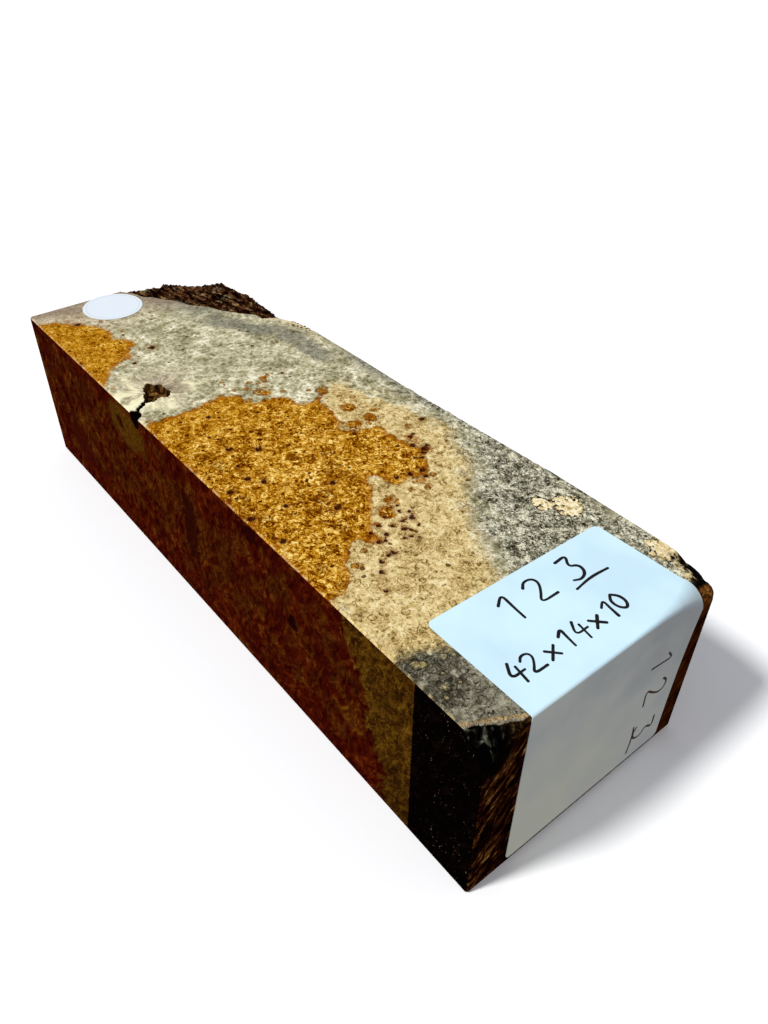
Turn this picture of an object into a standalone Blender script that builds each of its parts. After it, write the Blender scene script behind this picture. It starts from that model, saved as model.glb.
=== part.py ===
"""A sawn block of amboyna burl, sold as a blank for turning or carving.

The block is one grown piece of wood. Its base, ends and sides are sawn flat, and a strip of the tree's bark is
left where the block was cut close to the outside of the burl, along the far end and the right arris of the top.
A paper label is folded over the near end, and a round sticker lies at the far end of the top.

Frame: +X along the block towards the labelled end, +Y to the right-hand side, +Z up, origin at the middle of
the base. Sizes are in millimetres here, and MM turns them into Blender's metres when a mesh is made.
"""

import math

import bmesh
import bpy
import numpy as np
from mathutils import Vector, noise
from mathutils.geometry import delaunay_2d_cdt

MM = 0.001

# The sawn block, 16.5 x 5.5 x 4 inches
LENGTH = 419.1
WIDTH = 139.7
HEIGHT = 101.6
ARRIS = 0.8
CORNER = 1.0

END_X = LENGTH / 2
SIDE_Y = WIDTH / 2

# The bark starts along this line on the top, from the far end to the right arris
BARK_LINE = [(-212, -9), (-201, -2), (-192, 0.7), (-187.5, 5.4), (-180, 9.8), (-172, 16), (-162, 19),
             (-151.6, 27.6), (-141.5, 32), (-130, 40), (-123, 46), (-116, 46.4), (-111.7, 54), (-100, 59.8),
             (-80, 63.2), (-30, 64.3), (12, 64.6), (50, 66.2), (100, 68.3), (140, 71)]
# Height of the bark where it runs out over the far end (y, z) and over the right side (x, z)
BARK_AT_FAR_END = [(-9, 101), (12, 98.3), (31, 95.6), (49, 89.8), (58, 87.2), (70, 87.5)]
BARK_AT_SIDE = [(-210, 87.5), (-194, 88), (-177, 91), (-146, 89.8), (-132, 88.7), (-117, 92.3), (-103, 94.3),
                (-63, 95), (-16, 96.8), (26, 97.6), (67, 98.9), (100, 100), (130, 101.2)]
# The ledge between the sawn face and the bark, at these places along the block (x, depth)
BARK_LEDGE = [(-110, 2.5), (-40, 1.5), (100, 0.8)]
BARK_LEDGE_RUN = 0.8
BARK_LUMP = 2.0
BARK_FURROW = 1.6

# The dead knot: a pit round a loose plug, and the crack that runs from it to a bite out of the left arris
KNOT = [(-88, -50.5), (-80, -57.8), (-71, -54.5), (-67, -49), (-74, -41.7), (-83, -44)]
KNOT_PIT = 6.0
KNOT_WALL = 1.0
KNOT_PLUG_BELOW_FACE = 2.5
KNOT_PLUG_AT = 3.2
KNOT_PLUG_SLOPE = 1.5
CRACK = [(-73, -53.5), (-70.5, -58), (-68, -61.5), (-65.5, -66), (-64, -69)]
CRACK_HALF_WIDTH = 1.0
CRACK_DEPTH = 3.0
BITE_CENTRE = (-61.5, -70.5)
BITE_REACH = (5.5, 4.8)
BITE_DEPTH = 8.0

# The small eyes of dead buds that stand open in the sawn face (x, y)
BUD_PITS = [(101, -16), (92, -24), (117, -42), (127, -48), (-35, -39), (25, -52), (-113, -44), (-180, -50),
            (53, 30), (112, -38)]
BUD_RADIUS = 1.3
BUD_DEPTH = 1.2

# The chip off the near left corner is a plane through these points
CHIP_ON_TOP = (197, -69.85, 101.6)
CHIP_ON_END = (209.5, -47, 101.6)
CHIP_LOW = (209.5, -67, 90)
CHIP_ROUGH = 0.6

# The top rolls over into the near end, and the near right corner is worn away (y, run back) and (y, drop)
ROLL_RUN = [(11, 1.5), (28, 2.5), (43, 5), (55, 10), (62, 14), (SIDE_Y, 20)]
ROLL_DROP = [(11, 1.3), (28, 2), (43, 4.8), (50, 8), (58.7, 13), (63, 14), (SIDE_Y, 12.5)]
ROLL_STEPS = (0.0, 0.3, 0.55, 0.75, 0.88)
WORN_CORNER = (178, 50)
WORN_ROUGH = 0.7
# How far the right arris is worn down towards that corner (x, drop)
WORN_ARRIS = [(186, 0), (189, 0.8), (192.5, 2.6), (197.5, 2.0), (200.5, 2.4), (203.6, 2.2), (205.4, 0.6), (207, 0)]
WORN_ARRIS_FROM = 62

# The paper: a 4 x 6 inch label folded over the near end, and a 1.5 inch round sticker
PAPER = 0.25
PAPER_CLEARANCE = 0.3
LABEL_START_X = 152.3
LABEL_SLANT = 0.02
LABEL_LEFT_Y = -47.4
LABEL_CORNER = 3.0
LABEL_LOW_Z = 3.0
LABEL_SPRING = 0.2
# Its right edge, from (y, y) to (y, y) on each part of the fold: the paper lifts out over the worn corner
LABEL_RIGHT = {"top": (54.2, 55.5), "roll": (55.5, 61.5), "end": (61.5, 57.0)}
LABEL_ACROSS = (0, 0.1, 0.2, 0.35, 0.5, 0.65, 0.75, 0.82, 0.88, 0.92, 0.96, 1)
LABEL_ROUNDING = (0, 0.15, 0.45, 1)
LABEL_TOP_ROWS = (0.35, 0.7, 0.9)
LABEL_ROLL_ROWS = 6
LABEL_END_ROWS = (0.08, 0.2, 0.4, 0.7)
STICKER_CENTRE = (-190.3, -21.5)
STICKER_DIAMETER = 38.1
STICKER_SIDES = 48

# Spacing of the points on the bark and on the broken corners
BARK_GRAIN = 3.4
ROUGH_GRAIN = 3.6


def table(pairs, at):
    """Read a table of (place, value) pairs at a place between them."""
    return float(np.interp(at, [p[0] for p in pairs], [p[1] for p in pairs]))


def ease(t):
    """A smooth step from 0 to 1."""
    t = min(1.0, max(0.0, t))
    return t * t * (3 - 2 * t)


def to_segment(x, y, a, b):
    """Distance from a point to the segment a-b, and the side it lies on, positive to the left."""
    dx, dy = b[0] - a[0], b[1] - a[1]
    t = ((x - a[0]) * dx + (y - a[1]) * dy) / (dx * dx + dy * dy)
    t = min(1.0, max(0.0, t))
    side = dx * (y - a[1]) - dy * (x - a[0])
    return math.hypot(x - a[0] - t * dx, y - a[1] - t * dy), side


def to_line(x, y, points):
    """Signed distance to an open line, positive on its left-hand side."""
    near, side = min((to_segment(x, y, a, b) for a, b in zip(points, points[1:])), key=lambda found: found[0])
    return math.copysign(near, side)


def inside(x, y, outline):
    """How far a point lies inside an anticlockwise outline, negative outside a convex one."""
    closed = zip(outline, outline[1:] + outline[:1])
    return min(math.copysign(*to_segment(x, y, a, b)) for a, b in closed)


def bark_surface(x, y, out):
    """Height of the bark at a distance out from its line."""
    to_end, to_side = x + END_X, SIDE_Y - y
    by_end, by_side = 1 / (to_end + 4) ** 2, 1 / (to_side + 4) ** 2
    rim = by_end * table(BARK_AT_FAR_END, y) + by_side * table(BARK_AT_SIDE, x)
    rim /= by_end + by_side
    room = 1 / math.sqrt(1 / (to_end + 0.5) ** 2 + 1 / (to_side + 0.5) ** 2)
    start = HEIGHT - table(BARK_LEDGE, x) * min(1.0, out / BARK_LEDGE_RUN)
    base = start + (rim - start) * (out / (out + room)) ** 0.8
    depth = ease(out / 5) * min(1.0, 0.25 + (HEIGHT - base) / 12)
    lump = noise.noise(Vector((x / 13, y / 11, 3.0)))
    furrow = abs(noise.noise(Vector((x / 17 + y / 40, y / 5.5 - x / 30, 8.0))))
    return min(HEIGHT, base + depth * (BARK_LUMP * lump - BARK_FURROW * (1 - 3 * furrow)))


def knot_drop(x, y):
    """Depth of the pit round the loose knot, and of the knot itself."""
    deep = inside(x, y, KNOT)
    pit = KNOT_PIT * min(1.0, max(0.0, deep / KNOT_WALL))
    plug = (KNOT_PIT - KNOT_PLUG_BELOW_FACE) * ease((deep - KNOT_PLUG_AT) / KNOT_PLUG_SLOPE)
    return pit - plug


def crack_drop(x, y):
    """Depth of the V-shaped crack."""
    off = abs(to_line(x, y, CRACK))
    return CRACK_DEPTH * max(0.0, 1 - off / CRACK_HALF_WIDTH)


def bite_drop(x, y):
    """Depth of the bite out of the left arris."""
    q = math.hypot((x - BITE_CENTRE[0]) / BITE_REACH[0], (y - BITE_CENTRE[1]) / BITE_REACH[1])
    return BITE_DEPTH * math.sqrt(max(0.0, 1 - q * q))


def bud_drop(x, y):
    """Depth of the open bud eyes."""
    near = min(math.hypot(x - bx, y - by) for bx, by in BUD_PITS)
    return BUD_DEPTH * min(1.0, max(0.0, 2 - 2 * near / BUD_RADIUS))


def chip_drop(x, y):
    """Depth of the chipped plane below the top."""
    a, b, c = Vector(CHIP_ON_TOP), Vector(CHIP_ON_END), Vector(CHIP_LOW)
    across = (c - a).cross(b - a)
    fall = (across.x * (x - a.x) + across.y * (y - a.y)) / across.z
    return max(0.0, fall) + CHIP_ROUGH * ease(fall / 2) * noise.noise(Vector((x / 3, y / 3, 5.0)))


def roll_drop(x, y):
    """Depth of the roll-over into the near end, which is a quarter of an ellipse."""
    run = table(ROLL_RUN, y)
    t = min(1.0, max(0.0, 1 - (END_X - x) / run))
    return table(ROLL_DROP, y) * (1 - math.sqrt(1 - t * t))


def worn_drop(x, y):
    """Roughness of the worn corner, which fades out at its edges, and the wear of its arris."""
    into = ease((x - WORN_CORNER[0]) / 12) * ease((y - WORN_CORNER[1]) / 8)
    arris = table(WORN_ARRIS, x) * ease((y - WORN_ARRIS_FROM) / 5)
    return arris + WORN_ROUGH * into * max(0.0, 0.5 + noise.noise(Vector((x / 4, y / 4, 11.0))))


def top_height(x, y):
    """Height of the top of the block."""
    drops = (knot_drop(x, y), crack_drop(x, y), bite_drop(x, y), bud_drop(x, y), chip_drop(x, y))
    z = HEIGHT - max(0.0, *drops) - roll_drop(x, y) - worn_drop(x, y)
    out = to_line(x, y, BARK_LINE)
    return min(z, bark_surface(x, y, out)) if out > 0 else z


def steps(start, stop, spacing):
    """Evenly spaced places from start to stop, about spacing apart, with stop left out."""
    count = max(1, round(abs(stop - start) / spacing))
    return [start + (stop - start) * i / count for i in range(count)]


def stations():
    """Places round the plan, anticlockwise from the near left corner, with the way inwards from each."""
    near, side = END_X - CORNER, SIDE_Y - CORNER
    y_on_end = steps(-side, -44, 3.2) + steps(-44, 28, 14) + steps(28, side, 3.2) + [side]
    x_on_right = steps(near, 180, 3.2) + steps(180, 132, 24) + steps(132, -near, BARK_GRAIN) + [-near]
    y_on_far = steps(side, -14, BARK_GRAIN) + steps(-14, -side, 28) + [-side]
    x_on_left = steps(-near, -70, 46) + steps(-70, -53, 1.5) + steps(-53, 193, 60) + steps(193, near, 3.2)
    ring = [(END_X, y, -1, 0) for y in y_on_end]
    ring += [(x, SIDE_Y, 0, -1) for x in x_on_right]
    ring += [(-END_X, y, 1, 0) for y in y_on_far]
    ring += [(x, -SIDE_Y, 0, 1) for x in x_on_left + [near]]
    return ring


def wall_height(x, y, inwards):
    """Height at which a wall ends, below the eased arris."""
    inner = (x + ARRIS * inwards[0], y + ARRIS * inwards[1])
    if inwards == (-1, 0) and chip_drop(*inner) <= 0:
        return HEIGHT - table(ROLL_DROP, y)
    return top_height(*inner) - ARRIS


class Net:
    """Points and edges of the top, gathered for the triangulation."""

    def __init__(self):
        self.points = []
        self.edges = []

    def line(self, points, closed=False):
        first = len(self.points)
        self.points += points
        self.edges += [(i, i + 1) for i in range(first, len(self.points) - 1)]
        if closed:
            self.edges.append((len(self.points) - 1, first))

    def fill(self, box, spacing, belongs):
        """Points of a triangular grid in a box, where they belong and clear of the lines laid so far."""
        lines = [(self.points[a], self.points[b]) for a, b in self.edges]
        x0, x1, y0, y1 = box
        kept = []
        for row, y in enumerate(np.arange(y0, y1, spacing * 0.87)):
            for x in np.arange(x0 + (row % 2) * spacing / 2, x1, spacing):
                if belongs(x, y) and min(to_segment(x, y, a, b)[0] for a, b in lines) > spacing * 0.45:
                    kept.append((float(x), float(y)))
        self.points += kept


def beside(points, out):
    """A line moved to its left by a distance."""
    moved = []
    for i, (x, y) in enumerate(points):
        ahead, behind = points[min(i + 1, len(points) - 1)], points[max(i - 1, 0)]
        along = Vector((ahead[0] - behind[0], ahead[1] - behind[1])).normalized()
        moved.append((x - along.y * out, y + along.x * out))
    return moved


def shrunk(outline, by):
    """A convex anticlockwise outline drawn in towards its middle by a distance, point by point."""
    middle = Vector((sum(p[0] for p in outline), sum(p[1] for p in outline))) / len(outline)
    return [tuple(Vector(p) + (middle - Vector(p)).normalized() * by) for p in outline]


def circle(centre, radius, sides):
    """Points round a circle."""
    turns = [2 * math.pi * i / sides for i in range(sides)]
    return [(centre[0] + radius * math.cos(a), centre[1] + radius * math.sin(a)) for a in turns]


def clipped(points):
    """The part of a line that lies inside the eased edge of the top."""
    room_x, room_y = END_X - ARRIS - 0.4, SIDE_Y - ARRIS - 0.4
    return [(x, y) for x, y in points if abs(x) < room_x and abs(y) < room_y]


def top_net(rim):
    """The lines that the top is triangulated along, and the points of its rough parts."""
    net = Net()
    net.line(rim, closed=True)
    net.line(clipped(BARK_LINE))
    net.line(clipped(beside(BARK_LINE, BARK_LEDGE_RUN)))
    for by in (0, KNOT_WALL, KNOT_PLUG_AT, KNOT_PLUG_AT + 2 * KNOT_PLUG_SLOPE):
        net.line(shrunk(KNOT, by), closed=True)
    for side in (-CRACK_HALF_WIDTH, 0, CRACK_HALF_WIDTH):
        net.line(beside(CRACK[1:-1], side))
    for centre in BUD_PITS:
        net.line(circle(centre, BUD_RADIUS, 8), closed=True)
        net.line(circle(centre, BUD_RADIUS / 2, 6), closed=True)
    for share in ROLL_STEPS:
        across = [(END_X - table(ROLL_RUN, y) * (1 - share), y) for y in steps(28, SIDE_Y - 2, 3.2)]
        net.line([(x, y) for x, y in across if x < END_X - 2 * ARRIS])
    chip = Vector(CHIP_ON_TOP[:2]).lerp(Vector(CHIP_ON_END[:2]), 0.5)
    net.line([(CHIP_ON_TOP[0] + 0.5, -SIDE_Y + 2), tuple(chip), (END_X - 2, CHIP_ON_END[1] - 1.5)])
    reach_x, reach_y = BITE_REACH
    net.line([(BITE_CENTRE[0] + reach_x * math.cos(a), BITE_CENTRE[1] + reach_y * math.sin(a))
              for a in np.radians(range(24, 157, 22))])
    net.line([(BITE_CENTRE[0] + reach_x * 0.6 * math.cos(a), BITE_CENTRE[1] + reach_y * 0.75 * math.sin(a))
              for a in np.radians(range(40, 141, 25))])
    whole = (-END_X, END_X, -SIDE_Y, SIDE_Y)

    def in_block(x, y):
        return END_X - ARRIS - abs(x) > 1 and SIDE_Y - ARRIS - abs(y) > 1

    net.fill(whole, BARK_GRAIN, lambda x, y: in_block(x, y) and to_line(x, y, BARK_LINE) > BARK_LEDGE_RUN)
    net.fill((195, END_X, -SIDE_Y, -48), ROUGH_GRAIN, lambda x, y: in_block(x, y) and chip_drop(x, y) > 1)
    net.fill((WORN_CORNER[0], 206, WORN_CORNER[1], SIDE_Y), ROUGH_GRAIN, in_block)
    return net


def solid(name, verts, faces, material):
    """A mesh object from points in millimetres, with its faces turned outwards."""
    mesh = bpy.data.meshes.new(name)
    bm = bmesh.new()
    made = [bm.verts.new(Vector(v) * MM) for v in verts]
    for face in faces:
        bm.faces.new([made[i] for i in face])
    bmesh.ops.recalc_face_normals(bm, faces=bm.faces)
    bm.to_mesh(mesh)
    bm.free()
    mesh.materials.append(material)
    piece = bpy.data.objects.new(name, mesh)
    bpy.context.scene.collection.objects.link(piece)
    return piece


def finish(name, colour, roughness):
    """A plain Principled material."""
    material = bpy.data.materials.new(name)
    material.use_nodes = True
    shader = material.node_tree.nodes["Principled BSDF"]
    shader.inputs["Base Color"].default_value = (*colour, 1)
    shader.inputs["Roughness"].default_value = roughness
    shader.inputs["Metallic"].default_value = 0.0
    return material


def burl_block():
    """The block: a triangulated top, an eased arris round it, four walls and the base."""
    ring = stations()
    count = len(ring)
    rim = [(x + ARRIS * nx, y + ARRIS * ny) for x, y, nx, ny in ring]
    net = top_net(rim)
    flat, _, triangles, origins, _, _ = delaunay_2d_cdt([Vector(p) for p in net.points], net.edges, [], 1, 1e-4)
    verts = [(p.x, p.y, top_height(p.x, p.y)) for p in flat]
    rim_at = {source: i for i, sources in enumerate(origins) for source in sources if source < count}
    faces = [tuple(t) for t in triangles]

    wall = len(verts)
    verts += [(x, y, wall_height(x, y, (nx, ny))) for x, y, nx, ny in ring]
    for i in range(count):
        j = (i + 1) % count
        faces.append((rim_at[i], rim_at[j], wall + j, wall + i))

    turns = [i for i in range(count) if ring[i][2:] != ring[(i + 1) % count][2:]]
    corners = [end for i in turns for end in (i, (i + 1) % count)]
    low = len(verts)
    verts += [(ring[i][0], ring[i][1], ARRIS) for i in corners]
    base = len(verts)
    verts += [(ring[i][0] + ARRIS * ring[i][2], ring[i][1] + ARRIS * ring[i][3], 0) for i in corners]
    for k, start in enumerate(corners):
        after = (k + 1) % len(corners)
        stop = corners[after]
        reach = (stop - start) % count
        upper = [wall + (start + step) % count for step in range(reach + 1)]
        faces.append(tuple(upper + [low + after, low + k]))
        faces.append((low + k, low + after, base + after, base + k))
    faces.append(tuple(base + k for k in range(len(corners))))
    return solid("burl_block", verts, faces, finish("burl_wood", (0.35, 0.17, 0.05), 0.5))


def label_right(part, share):
    """The y of the label's right edge, at a share of the way along one part of the fold."""
    first, last = LABEL_RIGHT[part]
    return last + (first - last) * ((1 - share) ** 3 if part == "end" else 1 - share)


def label_point(part, share, y, lift):
    """A point of the label on the top, the roll or the end, off the wood, and springing a little at the fold."""
    run, drop = table(ROLL_RUN, y), table(ROLL_DROP, y)
    turn = {"top": 0.0, "roll": share, "end": 1.0}[part] * math.pi / 2
    lift += LABEL_SPRING * math.sin(2 * turn)
    slope = Vector((math.sin(turn) / run, 0, math.cos(turn) / drop)).normalized()
    x, z = END_X - run * (1 - math.sin(turn)), HEIGHT - drop * (1 - math.cos(turn))
    if part == "top":
        start = LABEL_START_X + LABEL_SLANT * y
        x = start + (x - start) * share
    if part == "end":
        z += (LABEL_LOW_Z - z) * share
    return x + lift * slope.x, y, z + lift * slope.z


def end_label():
    """The label, from its edge on the top over the roll and down the near end, with round corners."""
    length = {"top": END_X - LABEL_START_X, "end": HEIGHT - LABEL_LOW_Z}
    rows = [("top", t * LABEL_CORNER / length["top"]) for t in LABEL_ROUNDING]
    rows += [("top", t) for t in LABEL_TOP_ROWS]
    rows += [("roll", i / LABEL_ROLL_ROWS) for i in range(LABEL_ROLL_ROWS + 1)]
    rows += [("end", t) for t in LABEL_END_ROWS]
    rows += [("end", 1 - t * LABEL_CORNER / length["end"]) for t in reversed(LABEL_ROUNDING)]
    verts = []
    for lift in (PAPER_CLEARANCE, PAPER_CLEARANCE + PAPER):
        for part, share in rows:
            from_edge = {"top": share, "roll": 1, "end": 1 - share}[part] * length.get(part, LABEL_CORNER)
            short = max(0.0, LABEL_CORNER - from_edge)
            tuck = LABEL_CORNER - math.sqrt(LABEL_CORNER ** 2 - short ** 2)
            left, right = LABEL_LEFT_Y + tuck, label_right(part, share) - tuck
            verts += [label_point(part, share, left + (right - left) * t, lift) for t in LABEL_ACROSS]
    across, sheet = len(LABEL_ACROSS), len(rows) * len(LABEL_ACROSS)
    faces = []
    for r in range(len(rows) - 1):
        for c in range(across - 1):
            a = r * across + c
            quad = (a, a + 1, a + across + 1, a + across)
            faces += [quad, tuple(sheet + i for i in reversed(quad))]
    edge = list(range(across)) + [r * across + across - 1 for r in range(1, len(rows))]
    edge += [len(rows) * across - 1 - c for c in range(1, across)]
    edge += [r * across for r in range(len(rows) - 2, 0, -1)]
    faces += [(a, b, sheet + b, sheet + a) for a, b in zip(edge, edge[1:] + edge[:1])]
    return solid("end_label", verts, faces, finish("label_paper", (0.8, 0.85, 0.9), 0.45))


def round_sticker():
    """The round sticker, a thin disc just above the sawn face."""
    sides = STICKER_SIDES
    ring = circle(STICKER_CENTRE, STICKER_DIAMETER / 2, sides)
    low, high = HEIGHT + PAPER_CLEARANCE, HEIGHT + PAPER_CLEARANCE + PAPER
    verts = [(x, y, z) for z in (low, high) for x, y in ring]
    faces = [tuple(range(sides)), tuple(range(sides, 2 * sides))]
    faces += [(i, (i + 1) % sides, sides + (i + 1) % sides, sides + i) for i in range(sides)]
    return solid("round_sticker", verts, faces, finish("sticker_paper", (0.85, 0.87, 0.9), 0.4))


for leftover in list(bpy.data.objects):
    bpy.data.objects.remove(leftover)

burl_block()
end_label()
round_sticker()
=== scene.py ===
"""The looks of the amboyna burl block: figured top, bark edge, sealed sides, folded label, round sticker."""

import math

import bmesh
import bpy
import numpy as np
from mathutils import Matrix, Vector, noise
from mathutils.geometry import delaunay_2d_cdt


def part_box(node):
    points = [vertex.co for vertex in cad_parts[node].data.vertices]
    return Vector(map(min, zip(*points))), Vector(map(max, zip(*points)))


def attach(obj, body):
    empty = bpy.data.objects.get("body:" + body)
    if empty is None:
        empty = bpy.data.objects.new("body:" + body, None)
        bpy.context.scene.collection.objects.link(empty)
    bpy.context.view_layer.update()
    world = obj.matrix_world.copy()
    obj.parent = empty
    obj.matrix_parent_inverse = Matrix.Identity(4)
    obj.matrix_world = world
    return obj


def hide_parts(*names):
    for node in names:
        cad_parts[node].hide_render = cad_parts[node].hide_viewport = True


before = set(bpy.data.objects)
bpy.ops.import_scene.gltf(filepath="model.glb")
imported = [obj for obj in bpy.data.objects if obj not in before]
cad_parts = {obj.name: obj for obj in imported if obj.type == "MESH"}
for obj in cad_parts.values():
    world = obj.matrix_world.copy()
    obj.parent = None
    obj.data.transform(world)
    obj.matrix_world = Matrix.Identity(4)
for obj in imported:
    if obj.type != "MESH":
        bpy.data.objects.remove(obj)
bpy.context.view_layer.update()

# The camera stands at the photograph's place and angle, low over the labelled end and a little to the left,
# with a short lens, so the block runs away to the far end.
CAMERA_AT = (0.3214, -0.2095, 0.3501)
CAMERA_TURN, CAMERA_DOWN, CAMERA_ROLL = 50.56, 39.18, 0.75
CAMERA_LENS = 29.75

camera = bpy.data.objects.new("camera", bpy.data.cameras.new("camera"))
camera.data.lens = CAMERA_LENS
camera.data.clip_start = 0.01
camera.location = CAMERA_AT
camera.rotation_euler = (Matrix.Rotation(math.radians(CAMERA_TURN), 3, "Z")
                         @ Matrix.Rotation(math.radians(90 - CAMERA_DOWN), 3, "X")
                         @ Matrix.Rotation(math.radians(CAMERA_ROLL), 3, "Z")).to_euler()
bpy.context.scene.collection.objects.link(camera)
bpy.context.scene.camera = camera
bpy.context.scene.view_settings.view_transform = "Standard"

# The block lies on a white studio table. A wide soft lamp hangs above and behind it, and the room is
# brightest and bluest overhead and dark low down, so the top is bright and the sides fall off.
TABLE_SIDE, TABLE_LOW = 12.0, -2e-4
TABLE_WHITE, TABLE_GLOW = 1.0, 0.05
LAMP_STRENGTH, LAMP_SOFTNESS = 2.75, 9
LAMP_TILT, LAMP_TURN = 38, -108
ROOM_OVERHEAD, ROOM_SIDE, ROOM_BELOW = (0.27, 0.37, 0.46), (0.54, 0.37, 0.28), (0.25, 0.17, 0.15)

table = bpy.data.objects.new("table", bpy.data.meshes.new("table"))
half = TABLE_SIDE / 2
table.data.from_pydata([(-half, -half, TABLE_LOW), (half, -half, TABLE_LOW), (half, half, TABLE_LOW),
                        (-half, half, TABLE_LOW)], [], [(0, 1, 2, 3)])
white = bpy.data.materials.new("table_white")
white.use_nodes = True
white.node_tree.nodes["Principled BSDF"].inputs["Base Color"].default_value = (TABLE_WHITE,) * 3 + (1,)
white.node_tree.nodes["Principled BSDF"].inputs["Roughness"].default_value = 0.9
white.node_tree.nodes["Principled BSDF"].inputs["Specular IOR Level"].default_value = 0.0
white.node_tree.nodes["Principled BSDF"].inputs["Emission Color"].default_value = (1, 1, 1, 1)
white.node_tree.nodes["Principled BSDF"].inputs["Emission Strength"].default_value = TABLE_GLOW
table.data.materials.append(white)
table.visible_diffuse = table.visible_glossy = False
bpy.context.scene.collection.objects.link(table)

lamp = bpy.data.objects.new("lamp", bpy.data.lights.new("lamp", "SUN"))
lamp.data.energy = LAMP_STRENGTH
lamp.data.angle = math.radians(LAMP_SOFTNESS)
lamp.rotation_euler = (Matrix.Rotation(math.radians(LAMP_TURN + 90), 3, "Z")
                       @ Matrix.Rotation(math.radians(LAMP_TILT), 3, "X")).to_euler()
bpy.context.scene.collection.objects.link(lamp)

room = bpy.data.worlds.new("room")
room.use_nodes = True
bpy.context.scene.world = room
air = room.node_tree
where = air.nodes.new("ShaderNodeTexCoord")
split = air.nodes.new("ShaderNodeSeparateXYZ")
sky = air.nodes.new("ShaderNodeValToRGB")
sky.color_ramp.elements[0].color = (*ROOM_BELOW, 1)
sky.color_ramp.elements[1].color = (*ROOM_OVERHEAD, 1)
horizon = sky.color_ramp.elements.new(0.55)
horizon.color = (*ROOM_SIDE, 1)
rise = air.nodes.new("ShaderNodeMapRange")
rise.inputs["From Min"].default_value = -1
air.links.new(where.outputs["Generated"], split.inputs[0])
air.links.new(split.outputs["Z"], rise.inputs["Value"])
air.links.new(rise.outputs["Result"], sky.inputs["Fac"])
air.links.new(sky.outputs["Color"], air.nodes["Background"].inputs["Color"])

# The block is one piece of burl, sawn square. Where the saw ran close to the outside of the tree its bark is
# left, so the top is sawn wood, a ledge and then rough bark; a dead knot, a crack, a bite and two broken
# corners are the wood's own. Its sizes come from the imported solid, in millimetres.
MM = 0.001
_, high_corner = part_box("burl_block")
END_X, SIDE_Y, TOP = high_corner[0] / MM, high_corner[1] / MM, high_corner[2] / MM
ARRIS = 0.8
CORNER = 1.0
BARK_LINE = [(-212, -9), (-201, -2), (-192, 0.7), (-187.5, 5.4), (-180, 9.8), (-172, 16), (-162, 19),
             (-151.6, 27.6), (-141.5, 32), (-130, 40), (-123, 46), (-116, 46.4), (-111.7, 54), (-100, 59.8),
             (-80, 63.2), (-30, 64.3), (12, 64.6), (50, 66.2), (100, 68.3), (140, 71)]
BARK_AT_FAR_END = [(-9, 101), (12, 98.3), (31, 95.6), (49, 89.8), (58, 87.2), (70, 87.5)]
BARK_AT_SIDE = [(-210, 87.5), (-194, 88), (-177, 91), (-146, 89.8), (-132, 88.7), (-117, 92.3), (-103, 94.3),
                (-63, 95), (-16, 96.8), (26, 97.6), (67, 98.9), (100, 100), (130, 101.2)]
BARK_LEDGE = [(-110, 2.5), (-40, 1.5), (100, 0.8)]
BARK_LEDGE_RUN = 0.8
BARK_LUMP, BARK_FURROW = 1.6, 1.2
KNOT = [(-88, -48.5), (-84, -53.5), (-79, -54.8), (-74, -58), (-69, -58.5), (-67, -54.5), (-69.5, -50.5),
        (-67.3, -46), (-71, -41.5), (-78.3, -43.6), (-82.2, -43), (-83.5, -46.2)]
CRACK = [(-71, -56), (-70, -59.5), (-68, -61.8), (-66, -64.2), (-63, -67)]
BITE_CENTRE, BITE_REACH = (-61.5, -70.5), (5.5, 4.8)
KNOT_PIT, KNOT_PLUG, CRACK_DEPTH, BITE_DEPTH = 4.2, 2.4, 3, 8
CHIP = np.array([(197, -69.85, 101.6), (209.5, -47, 101.6), (209.5, -67, 90)])
ROLL_RUN = [(11, 1.5), (28, 2.5), (43, 5), (55, 10), (62, 14), (SIDE_Y, 20)]
ROLL_DROP = [(11, 1.3), (28, 2), (43, 4.8), (50, 8), (58.7, 13), (63, 14), (SIDE_Y, 12.5)]
WORN_ARRIS = [(186, 0), (189, 0.8), (192.5, 2.6), (197.5, 2.0), (200.5, 2.4), (203.6, 2.2), (205.4, 0.6),
              (207, 0)]
# Open bud eyes in the sawn face (x, y, radius)
EYES = [(101, -16, 1.4), (92, -24, 1.2), (117, -42, 1.3), (127, -48, 1.0), (-35, -39, 1.3), (25, -52, 1.5),
        (-113, -44, 1.2), (-180, -50, 1.8), (53, 30, 1.5), (112, -38, 1.2), (86, -8, 0.8), (90, -10, 0.8),
        (93, -6, 1.0), (97, -8, 1.5), (96, -13, 1.2), (103, -9, 0.8), (106, -20, 0.9), (99, -25, 1.2),
        (94, -30, 1.0), (101, -31, 1.2), (110.6, -30, 1.4), (110.6, -33, 1.0), (85, -13, 0.7), (89, -18, 0.8),
        (104, -14, 0.7), (107, -17, 0.8), (96, -19, 0.9), (102, -28, 0.9), (-124, -27, 1.9), (-2, -46, 1.6),
        (7, -34, 1.8), (32, -47, 1.4), (29, -64, 1.6), (52, -67, 1.7), (53, -21, 1.6), (54, -49, 1.3),
        (74, -64, 1.5), (46, 34, 1.2), (59, 33, 1.8), (61, 30, 1.2), (45, 37, 0.9), (72, 20, 1.6),
        (77, 18, 1.2), (71, 13, 1.4), (69, 6, 1.2), (64, 27, 0.9), (-50, 18, 1.0), (37, 50, 1.3),
        (57, 36, 1.2), (62, 24, 1.0), (70, -31, 1.5), (69, -29, 0.8), (13, -50, 0.9)]
EYE_DEPTH = 0.9


def lookup(pairs, at):
    """Read a table of (place, value) pairs at many places."""
    return np.interp(at, [p[0] for p in pairs], [p[1] for p in pairs])


def ease(t):
    """A smooth step from 0 to 1."""
    t = np.clip(t, 0, 1)
    return t * t * (3 - 2 * t)


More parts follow.
